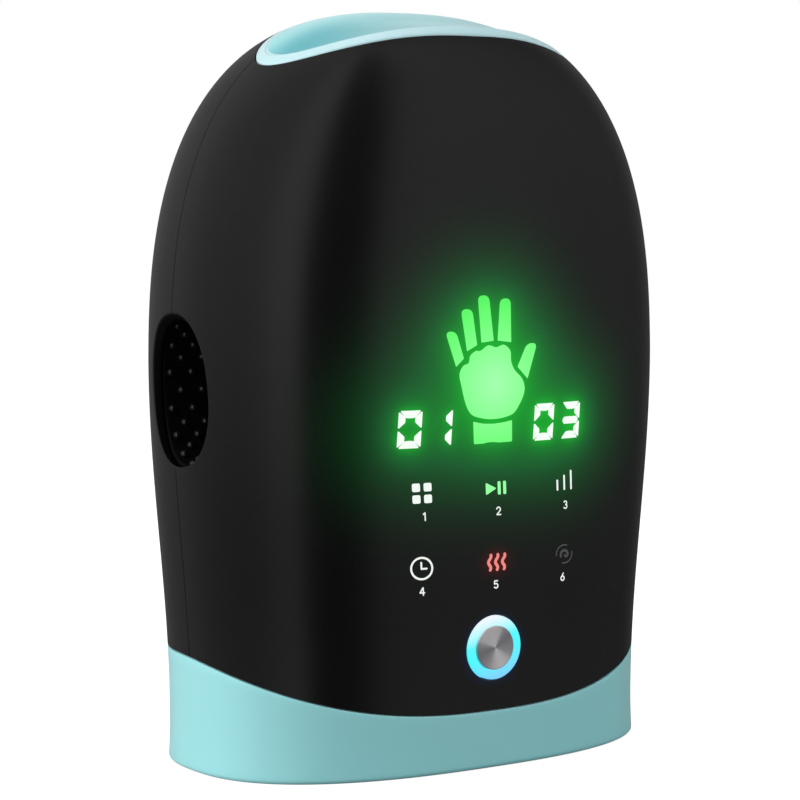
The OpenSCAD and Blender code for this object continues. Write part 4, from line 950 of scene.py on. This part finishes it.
def grained(tree, shader, roughness, spread, scale, depth):
    """Roughness and bump from the moulded grain; depth is the grain's height in metres."""
    grain = add_node(tree, "Group", {"Scale": scale, "Roughness": roughness, "Spread": spread}, node_tree=GRAIN)
    bump = add_node(tree, "Bump", {"Height": grain.outputs["Height"], "Distance": depth, "Strength": 1.0})
    dress(tree, shader, Roughness=grain.outputs["Roughness"], Normal=bump.outputs["Normal"])


def plastic(name, base, roughness=0.45, spread=0.05, scale=900, depth=0.000008, **sockets):
    """Moulded finish: its colour, roughness and its spread, and the grain's scale and height."""
    made, tree, shader = new_finish(name)
    toned(tree, shader, base, 0.05)
    grained(tree, shader, roughness, spread, scale, depth)
    dress(tree, shader, **sockets)
    return made


def lit(name, base, colour):
    """Finish that glows in one colour, or in one that a function puts together in its node tree."""
    made, tree, shader = new_finish(name)
    toned(tree, shader, base)
    glow = colour(tree) if callable(colour) else (*colour, 1)
    dress(tree, shader, Roughness=0.35, Emission_Color=glow, Emission_Strength=1.0)
    return made


def measured(tree, centre):
    """Distance of the surface's point from a centre in the plane of x and z, and its way from it."""
    middle = add_node(tree, "Mapping", {"Vector": own_place(tree), "Location": tuple(-c for c in centre)})
    part = add_node(tree, "VectorMath", {0: middle.outputs["Vector"], 1: (1, 0, 1)},
                    operation="MULTIPLY").outputs["Vector"]
    return add_node(tree, "VectorMath", {0: part}, operation="LENGTH").outputs["Value"], part


def hand_light(tree):
    """Light of the hand: palest in the middle of the palm, and a fuller green towards the fingertips."""
    reach = calc(tree, "MULTIPLY", measured(tree, PALM_AT)[0], 1 / HAND_REACH)
    return colour_ramp(tree, reach, [(0, (0.36, 1.0, 0.42)), (0.35, (0.24, 1.0, 0.28)), (0.75, (0.12, 0.95, 0.15)),
                                     (1.0, (0.06, 0.85, 0.09))])


def ring_light(tree):
    """Light of the ring: white at the top, cyan at the sides and a deeper blue at the bottom."""
    axes = add_node(tree, "SeparateXYZ", {0: own_place(tree)}).outputs
    lean = calc(tree, "MULTIPLY_ADD", axes["X"], -0.25, axes["Z"])
    height = calc(tree, "MULTIPLY_ADD", lean, 0.5 / RING_R, 0.5 - 0.5 * BUTTON_Z / RING_R)
    return colour_ramp(tree, height, [(0, (0.2, 0.6, 1.0)), (0.2, (0.13, 0.76, 1.0)), (0.42, (0.05, 0.92, 0.97)),
                                      (0.62, (0.08, 0.9, 0.95)), (0.8, (0.45, 0.92, 1.0)), (1.0, (0.86, 0.9, 1.0))])


def shell_finish():
    """Satin black shell. Its glow attribute lets the display's light through."""
    made, tree, shader = new_finish("black_shell")
    toned(tree, shader, (0.004, 0.004, 0.0043), 0.08)
    grained(tree, shader, 0.27, 0.02, 1400, 0.000002)
    glow = add_node(tree, "Attribute", attribute_name="glow")
    dress(tree, shader, Emission_Color=glow.outputs["Color"], Emission_Strength=1.0)
    return made


def spun_metal():
    """Cap turned on a lathe: painted highlights of light and dark fans in the base colour, by twice the angle about
    its axis, and fine turned rings.
    """
    made, tree, shader = new_finish("spun_metal")
    radius, part = measured(tree, (0, 0, BUTTON_Z))
    axes = add_node(tree, "SeparateXYZ", {0: part}).outputs
    # Painted highlight: light and dark fans about the axis stand in for the spun face's reflections; the fine rings
    # are the real turned grooves
    angle = calc(tree, "ARCTAN2", axes["Z"], axes["X"])
    wave = calc(tree, "COSINE", calc(tree, "MULTIPLY_ADD", angle, 2.0, -3.9))
    swirl = calc(tree, "SINE", calc(tree, "MULTIPLY_ADD", angle, 5.0, 0.8))
    painted_fan_highlight = calc(tree, "MULTIPLY_ADD", swirl, 0.07, calc(tree, "MULTIPLY_ADD", wave, 0.42, 0.5))
    rings = add_node(tree, "TexNoise", {"W": radius, "Scale": 4200, "Detail": 3}, noise_dimensions="1D")
    rings_and_painted_fans = calc(tree, "MULTIPLY_ADD", rings.outputs["Fac"], 0.22, calc(tree, "ADD", painted_fan_highlight, -0.11))
    colour = colour_ramp(tree, rings_and_painted_fans, [(0, (0.3, 0.29, 0.31)), (0.4, (0.5, 0.49, 0.52)), (0.62, (0.8, 0.78, 0.8)),
                                       (1.0, (1.0, 0.98, 0.98))])
    bump = add_node(tree, "Bump", {"Height": rings.outputs["Fac"], "Distance": 0.00001})
    tangent = add_node(tree, "Tangent", direction_type="RADIAL", axis="Y")
    dress(tree, shader, Base_Color=colour, Normal=bump.outputs["Normal"], Tangent=tangent.outputs["Tangent"],
          Metallic=0.6, Roughness=0.33, Anisotropic=0.7)
    return made


def teal_finish():
    """Satin teal plastic. A point attribute on the inlay paints a highlight on its rim band and paints shade down in
    its dish, through the base colour.
    """
    made, tree, shader = new_finish("teal_plastic")
    grained(tree, shader, 0.36, 0.03, 700, 0.000004)
    # Painted light on the inlay: its attribute moves the colour towards the painted-shade teal in the dish and the
    # painted-highlight teal on the rim; pieces without it keep the plain teal
    painted_light = add_node(tree, "Attribute", attribute_name="painted_light").outputs["Fac"]
    level = calc(tree, "MULTIPLY_ADD", painted_light, 0.5, calc(tree, "MULTIPLY_ADD", noise_at(tree, TONE_SCALE), 0.03, 0.485))
    dress(tree, shader, Base_Color=colour_ramp(tree, level, [(0, TEAL_PAINTED_SHADE), (0.5, TEAL), (1.0, TEAL_PAINTED_HIGHLIGHT)]),
          Specular_IOR_Level=0.8, Sheen_Weight=0.45, Sheen_Roughness=0.4)
    return made


GRAIN = moulded_grain()
FINISHES = {"black_shell": shell_finish(), "teal_plastic": teal_finish(), "spun_metal": spun_metal()}
for name, *values in (("case_plastic", (0.02, 0.02, 0.022), 0.5), ("dark_plastic", (0.012, 0.012, 0.013), 0.45),
                      ("white_plastic", (0.72, 0.73, 0.72), 0.5), ("gear_plastic", (0.7, 0.7, 0.66), 0.4),
                      ("black_rubber", (0.012, 0.012, 0.012), 0.7, 0.08, 1500, 0.00002),
                      ("circuit_board", (0.01, 0.11, 0.045), 0.3, 0.08, 500),
                      ("airbag_film", (0.03, 0.06, 0.16), 0.35, 0.08, 300, 0.00004),
                      ("heater_film", (0.5, 0.18, 0.03), 0.3), ("clear_tube", (0.6, 0.66, 0.63), 0.2, 0.03),
                      ("battery_wrap", (0.1, 0.14, 0.22), 0.35), ("ribbon", (0.55, 0.52, 0.44), 0.4)):
    FINISHES[name] = plastic(name, *values)
for name, *values, shine in (("shell_edge", (0.003, 0.003, 0.0032), 0.6, 0.15),
                             ("lining", (0.008, 0.008, 0.009), 0.15, 0.04, 1200, 0.000004, 0.9)):
    FINISHES[name] = plastic(name, *values, Specular_IOR_Level=shine)
for name, *values in (("steel", (0.56, 0.57, 0.58), 0.28), ("brass_parts", (0.72, 0.5, 0.2), 0.3)):
    FINISHES[name] = plastic(name, *values, 0.08, 400, 0.000004, Metallic=1.0)
for name, *values in (("lit_ring", (0.04, 0.06, 0.07), ring_light), ("hand_light", (0.02, 0.05, 0.02), hand_light),
                      ("display_light", (0.8, 0.95, 0.82), (0.3, 1.0, 0.4)),
                      ("figure_light", (0.05, 0.06, 0.05), (0.88, 1.0, 0.9)),
                      ("run_light", (0.02, 0.05, 0.02), (0.3, 1.0, 0.35)),
                      ("key_light", (0.05, 0.05, 0.05), (0.86, 0.92, 0.87)),
                      ("heat_light", (0.05, 0.01, 0.01), (0.86, 0.25, 0.22)),
                      ("resting_light", (0.03, 0.03, 0.03), (0.045, 0.045, 0.045))):
    FINISHES[name] = lit(name, *values)


def dress_nodes():
    """Each CAD node gets the finish of its record slot."""
    for part in frame["record"]["subparts"]:
        mesh = NODES[part["node"]].data
        mesh.materials.clear()
        mesh.materials.append(FINISHES[part["material_slot"]])


# Collar, inlay and button

def mouth(turn, z, grow):
    """Superellipse of the fourth power round the wrist opening, larger by grow all round."""
    c, s = np.cos(turn), np.sin(turn)
    reach = (c ** 4 + s ** 4) ** -0.25
    return np.stack([(MOUTH_W / 2 + grow) * reach * c, MOUTH_Y + (MOUTH_D / 2 + grow) * reach * s, z + 0 * turn], -1)


def collar_rows(turn):
    """Section of the collar at each angle: mouth, throat, floor, inner wall, seam edge, outer wall, foot."""
    top, lip = seam_z(turn), THROAT_LIP
    rows = [mouth(turn, FOOT_ROUND * a, FOOT_ROUND * b) for a, b in rounding(90, 0, 9)]
    rows += [mouth(turn, THROAT_TOP - lip * a, lip * b) for a, b in rounding(0, 90, 4)]
    rows += [mouth(turn, THROAT_TOP - lip * a, THROAT_WALL - lip * b) for a, b in rounding(90, 0, 4)]
    rows += [mouth(turn, FLOOR + lip * a, THROAT_WALL + lip * b) for a, b in rounding(0, 90, 4)]
    rows += [skin(turn, FLOOR + 0 * turn, WALL)]
    rows += [skin(turn, FLOOR + (top - RIM_ROUND - FLOOR) * share, WALL) for share in np.linspace(0.25, 1, 5)]
    rows += [skin(turn, top - RIM_ROUND * a, WALL - RIM_ROUND * b) for a, b in rounding(0, 90, 4)]
    rows += [skin(turn, top - RIM_ROUND * a, RIM_ROUND * b) for a, b in rounding(90, 0, 4)]
    rows += [skin(turn, FOOT_ROUND + (top - RIM_ROUND - FOOT_ROUND) * share) for share in np.linspace(1, 0, 15)[1:]]
    rows += [skin(turn, FOOT_ROUND * a + 0 * turn, FOOT_ROUND * b) for a, b in rounding(0, 90, 9)[1:]]
    return np.stack(rows)


INLAY_SHARES = 1 - (1 - np.linspace(0, 1, 40)) ** 1.6


def dish(share, y):
    """Depth of the scooped dish: half an ellipse across, which a cosine fades out towards the back."""
    fade = ease(np.clip((DISH_BACK - y) / DISH_RUN, 0, 1))
    return DISH_DEPTH * np.sqrt(1 - np.minimum(share, 1) ** 2) * fade


def inlay_ring(turn, grow, sunk):
    """Ring of the inlay's rim band: grow runs from minus the band's width to 0 at the outer edge."""
    x = (INLAY_W / 2 + grow) * np.cos(turn)
    y = -INLAY_FRONT + (INLAY_D / 2 + grow) * np.sin(turn)
    return np.stack([x, y, crown_z(x, y) - sunk], -1)


def inlay_painted_light(points):
    """Painted light on the inlay: above 0 a painted highlight on the rim band, and below 0 painted shade in the dish,
    darker towards the front and the two ends.
    """
    x, y = points[:, 0], points[:, 1]
    share = np.hypot(x / (INLAY_W / 2 - INLAY_RIM), (y + INLAY_FRONT) / (INLAY_D / 2 - INLAY_RIM))
    front = ease(np.clip((DISH_BACK - y) / DISH_SHADE_RUN, 0, 1))
    deep = -front * (0.6 + 0.4 * np.clip(np.abs(x) / DISH_SHADE_SPREAD, 0, 1)) * np.clip(share / 0.7, 0.6, 1)
    return np.where(share > 0.985, RIM_PAINTED_HIGHLIGHT, deep)


def dish_ring(turn, share, sunk):
    """Ring of the dish at a share of its half width and half depth, some way below its face."""
    x = (INLAY_W / 2 - INLAY_RIM) * share * np.cos(turn)
    y = -INLAY_FRONT + (INLAY_D / 2 - INLAY_RIM) * share * np.sin(turn)
    return np.stack([x, y, crown_z(x, y) - dish(share, y) - sunk], -1)


def add_inlay():
    """Inlay from rings: the dish, the rim band with rounded edges, the outer edge and the underside."""
    turn, lip = full_turn(256), INLAY_LIP
    rows = [dish_ring(turn, share, 0) for share in INLAY_SHARES[:-1]]
    rows += [inlay_ring(turn, -INLAY_RIM + lip * b, lip * a) for a, b in rounding(0, 90, 5)]
    rows += [inlay_ring(turn, grow, 0) for grow in np.linspace(-INLAY_RIM + 2 * lip, -2 * lip, 4)]
    rows += [inlay_ring(turn, -lip * b, lip * a) for a, b in rounding(90, 0, 5)]
    rows += [inlay_ring(turn, 0, WALL), inlay_ring(turn, -INLAY_RIM, WALL)]
    rows += [dish_ring(turn, share, WALL) for share in INLAY_SHARES[:-1][::-1]]
    points, faces = capped(np.stack(rows))
    piece = add_piece("top_inlay", points, [f[::-1] for f in faces], "housing", "teal_plastic", ["top_inlay"])
    # Painted highlight on the rim band and painted shade in the dish, as a point attribute
    painted_light = piece.data.attributes.new("painted_light", "FLOAT", "POINT")
    painted_light.data.foreach_set("value", inlay_painted_light(points).astype(np.float32))


def add_button():
    """Cap and flange turned about the button's axis, with the cap's face a little proud of the shell."""
    face = -(float(skin_y(np.array(0.0), np.array(BUTTON_Z))) + CAP_PROUD)
    low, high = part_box("power_button")
    flange_r, flange_y = (high.x - low.x) / 2, high.y - CAP_FLANGE
    profile = rounded_profile(
        [(0, face + CAP_DISH), (CAP_R - CAP_EDGE, face), (CAP_R, face), (CAP_R, flange_y), (flange_r, flange_y),
         (flange_r, high.y), (0, high.y)],
        [0, 0.2 * MM, 0.3 * MM, 0.05 * MM, 0.1 * MM, 0.1 * MM, 0])
    add_piece("power_button", *capped(lathe_y(profile, 0, BUTTON_Z)), "button", "spun_metal", ["power_button"])


def add_light_ring():
    """Ring turned about the button's axis, with rounded front edges."""
    low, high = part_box("button_light_ring")
    inner = CAP_R + BUTTON_GAP
    profile = rounded_profile([(inner, high.y), (inner, low.y), (RING_R, low.y), (RING_R, high.y), (inner, high.y)],
                              [0, 0.3 * MM, 0.45 * MM, 0, 0])[:-1]
    ring_piece("button_light_ring", lathe_y(profile, 0, BUTTON_Z), "housing", "lit_ring")


# Soft pieces: thumb sleeves, stud mats, pads and airbags, with sizes in millimetres

STUD_R, STUD_PITCH = 2.2, 9
SLEEVE_STUD_R, SLEEVE_STUDS = 1.25, 16
SLEEVE_STUD_X = (60.2, 63.5, 66.8, 70.1)
FRONT_PAD = ((-35, 35), (38, 152))
FINGER_PAD = ((-39, 39), (124, 162))
PALM_PADS = [((-42, -31), (46, 112)), ((31, 42), (46, 112))]
MAT_ROUND, MAT_EDGE = 5, 0.5
BAG_ROUND, BAG_STEP, BAG_SEAM, BAG_WELD = 6, 1.6, 0.95, 0.15
BAG_CREASES, BAG_CREASE = 22, 0.12
BAG_SHARES = np.array([0, 0.3, 0.5, 0.65, 0.76, 0.84, 0.89, 0.92, 0.94, BAG_SEAM, 1.0])
SLEEVE_LIP = 0.7 * MM
SLEEVE_FLANGE = ((2.3, 1.5), (1.7, 1.7), (1.5, 2.2), (1.5, 3.6), (1.38, 3.88), (1.1, 4), (0.4, 4), (0.12, 3.88),
                 (0, 3.6), (0, 0.2))


def facing_out(points, faces):
    """The faces, turned over if the volume that they enclose comes out below 0."""
    fans = np.array([(f[0], f[k], f[k + 1]) for f in faces for k in range(1, len(f) - 1)])
    a, b, c = (points[fans[:, k]] for k in range(3))
    return faces if np.sum(a * np.cross(b, c)) > 0 else [f[::-1] for f in faces]


def add_soft(name, parts, body, slot):
    """Piece of several closed parts in millimetres, which stands for the node of its name."""
    points, faces = join([(p, facing_out(np.asarray(p), f)) for p, f in parts])
    return add_piece(name, points * MM, faces, body, slot, [name])


def ball(x, y, z, radius):
    """Sphere from rings about an axis along Y."""
    a = np.linspace(0, np.pi, 9)
    return capped(lathe_y(np.stack([radius * np.sin(a), y - radius * np.cos(a)], -1), x, z, 16))


def pad_outline(x, z, cut, steps):
    """Middle and half size of a rectangle in x and z, and its outline with rounded corners."""
    middle, half = np.array([sum(x), sum(z)]) / 2, np.array([x[1] - x[0], z[1] - z[0]]) / 2
    return middle, half, box_outline(*middle, *(2 * half), cut, steps)


def pad_ring(middle, loop, share, y):
    """The centred outline at a share of its size, moved to its middle and to a place along Y."""
    flat = middle + loop * share
    return np.stack([flat[:, 0], y + 0 * flat[:, 0], flat[:, 1]], -1)


def stud(x, z, face, ahead):
    """Round massage stud on a mat's face: a dome that runs out into the mat in a small fillet."""
    radius = np.array([0, 1.25, 1.25, 1.08, 0.98, 0.86, 0.66, 0.38, 0]) * STUD_R
    height = np.array([-0.5, -0.5, 0, 0.1, 0.3, 0.54, 0.78, 0.95, 1]) * STUD_R
    return capped(lathe_y(np.stack([radius, face + ahead * height], -1), x, z, 20))


def soft_plate(x, z, back, face, corner, edge, crown=0.0):
    """Closed plate of rings of a rounded rectangle: round edges, and a face raised by the crown times 1 - share^2."""
    middle, half, loop = pad_outline(x, z, corner, 8)
    ahead = np.sign(face - back)
    bend = [(edge * a, edge * b) for a, b in rounding(0, 90, 5)]
    flat = np.linspace(0, 1, 7)
    rows = [(share * (1 - edge / half), back) for share in flat]
    rows += [(1 - i / half, back + ahead * u) for i, u in bend[1:]]
    rows += [(1 - i / half, face - ahead * u) for i, u in bend[::-1]]
    rows += [(share * (1 - edge / half), face + ahead * crown * (1 - share * share)) for share in flat[-2::-1]]
    return capped(np.stack([pad_ring(middle, loop - middle, share, y) for share, y in rows]))


def studded(x, z, back, face, crown=0.0):
    """Soft mat with a grid of studs on its face."""
    count = [int((span[1] - span[0] - STUD_PITCH) // STUD_PITCH) for span in (x, z)]
    along = [sum(span) / 2 + (np.arange(n + 1) - n / 2) * STUD_PITCH for span, n in zip((x, z), count)]
    ahead = np.sign(face - back)
    studs = [stud(i, k, face, ahead) for i in along[0] for k in along[1]]
    return [soft_plate(x, z, back, face, MAT_ROUND, MAT_EDGE, crown)] + studs


def film_bag(x, z, back, face):
    """Flat film bag: both faces swell from a welded seam by (1 - share^6)^0.5, with creases that run in from it."""
    middle, half, loop = pad_outline(x, z, BAG_ROUND, 6)
    loop = even_path(np.concatenate([loop, loop[:1]]), BAG_STEP)[:-1] - middle
    turn = np.arctan2(loop[:, 1] / half[1], loop[:, 0] / half[0])
    deep = abs(face - back) / 2 - BAG_WELD
    rings = []
    for side in (-1, 1):
        for share in BAG_SHARES[::side]:
            crease = 1 - BAG_CREASE * share ** 4 * np.cos(BAG_CREASES * turn) ** 2
            swell = np.sqrt(1 - min(share / BAG_SEAM, 1) ** 6) * crease
            rings.append(pad_ring(middle, loop, share, (back + face) / 2 - side * (BAG_WELD + deep * swell)))
    return capped(np.stack(rings[::-1]))


def sleeve_tube(side):
    """Tube with the thumb hole's superellipse as its section: the profile runs out along the inside, round the
    lip that follows the shell, back along the outside and round the flange."""
    turn = full_turn(160)
    end = np.minimum(skin_x(*thumb_oval(turn), WALL), skin_x(*thumb_oval(turn, SLEEVE_WALL), WALL)) - SOFT_GAP
    along, bend = np.linspace(0.05, 0.92, 10), np.linspace(0, np.pi, 9)
    profile = [(share, 0, 0) for share in along]
    profile += [(1, SLEEVE_LIP * (math.sin(a) - 1), SLEEVE_WALL * (1 - math.cos(a)) / 2) for a in bend]
    profile += [(share, 0, SLEEVE_WALL) for share in along[:2:-1]]
    profile += [(0, x * MM, grow * MM) for x, grow in SLEEVE_FLANGE]
    rows = [np.stack([side * (SLEEVE_START + share * (end - SLEEVE_START) + x), *thumb_oval(turn, grow)], -1)
            for share, x, grow in profile]
    rows = np.stack(rows) / MM
    return rows.reshape(-1, 3), grid_faces(rows.shape[0], rows.shape[1], close_rows=True)


def sleeve_studs(side):
    """Rows of small studs round the inside of a sleeve, each row turned by half a step from the one before."""
    parts = []
    for row, x in enumerate(SLEEVE_STUD_X):
        y, z = thumb_oval(2 * np.pi * (np.arange(SLEEVE_STUDS) + row % 2 / 2) / SLEEVE_STUDS)
        parts += [ball(side * x, b / MM, c / MM, SLEEVE_STUD_R) for b, c in zip(y, z)]
    return parts


def add_soft_pieces():
    """Sleeves with a matt tube, stud mats on their plates, the palm's pads, and the airbags behind the plates."""
    for name, side in (("left_thumb_sleeve", -1), ("right_thumb_sleeve", 1)):
        tube = sleeve_tube(side)
        sleeve = add_soft(name, [tube] + sleeve_studs(side), "housing", "lining")
        add_second_finish(sleeve, "shell_edge", np.arange(len(sleeve.data.polygons)) < len(tube[1]))
    add_soft("front_node_mat", studded(*FRONT_PAD, -23.3, -21.8), "front_presser", "lining")
    add_soft("finger_node_mat", studded(*FINGER_PAD, 13.9, 12.4), "finger_presser", "lining")
    pads = [part for x, z in PALM_PADS for part in studded(x, z, 19, 17.5, 0.3)]
    add_soft("palm_side_pads", pads, "housing", "lining")
    bags = (("front_airbag", (-36, 36), (36, 154), -28.7, -25.7, "front_presser"),
            ("finger_airbag", (-40, 40), (122, 164), 18.7, 15.7, "finger_presser"))
    for name, x, z, back, face, presser in bags:
        bag = add_soft(name, [film_bag(x, z, back, face)], None, "airbag_film")
        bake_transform(bag)


add_camera()
add_floor(size=8, glow=0.88, albedo=0.35)
add_world(ambient=0.36)
add_lamp("left_softbox", (-1.25, 0.15, 0.5), (0, 0, 0.11), (1.2, 1.3), 22.5, (1, 0.9, 0.89))
add_lamp("right_softbox", (0.95, -1.0, 0.7), (0, 0, 0.12), (1.2, 0.9), 8)
add_lamp("top_softbox", (0, 0.1, 1.2), (0, 0, 0.1), (0.9, 0.7), 5)

dress_nodes()
add_shell("front_shell", True, [round_hole(True, 0, BUTTON_Z, RING_R + BUTTON_GAP)])
add_shell("back_shell", False, [round_hole(False, x, z, WELL_R) for x in (-WELL_X, WELL_X) for z in WELL_Z]
          + [round_hole(False, 0, SLOT_Z, SLOT_R, SLOT_FLAT)])
ring_piece("base_collar", collar_rows(full_turn(288)), "housing", "teal_plastic")
add_inlay()
add_button()
add_light_ring()
add_display()
add_soft_pieces()

bpy.context.scene.view_settings.view_transform = "Standard"
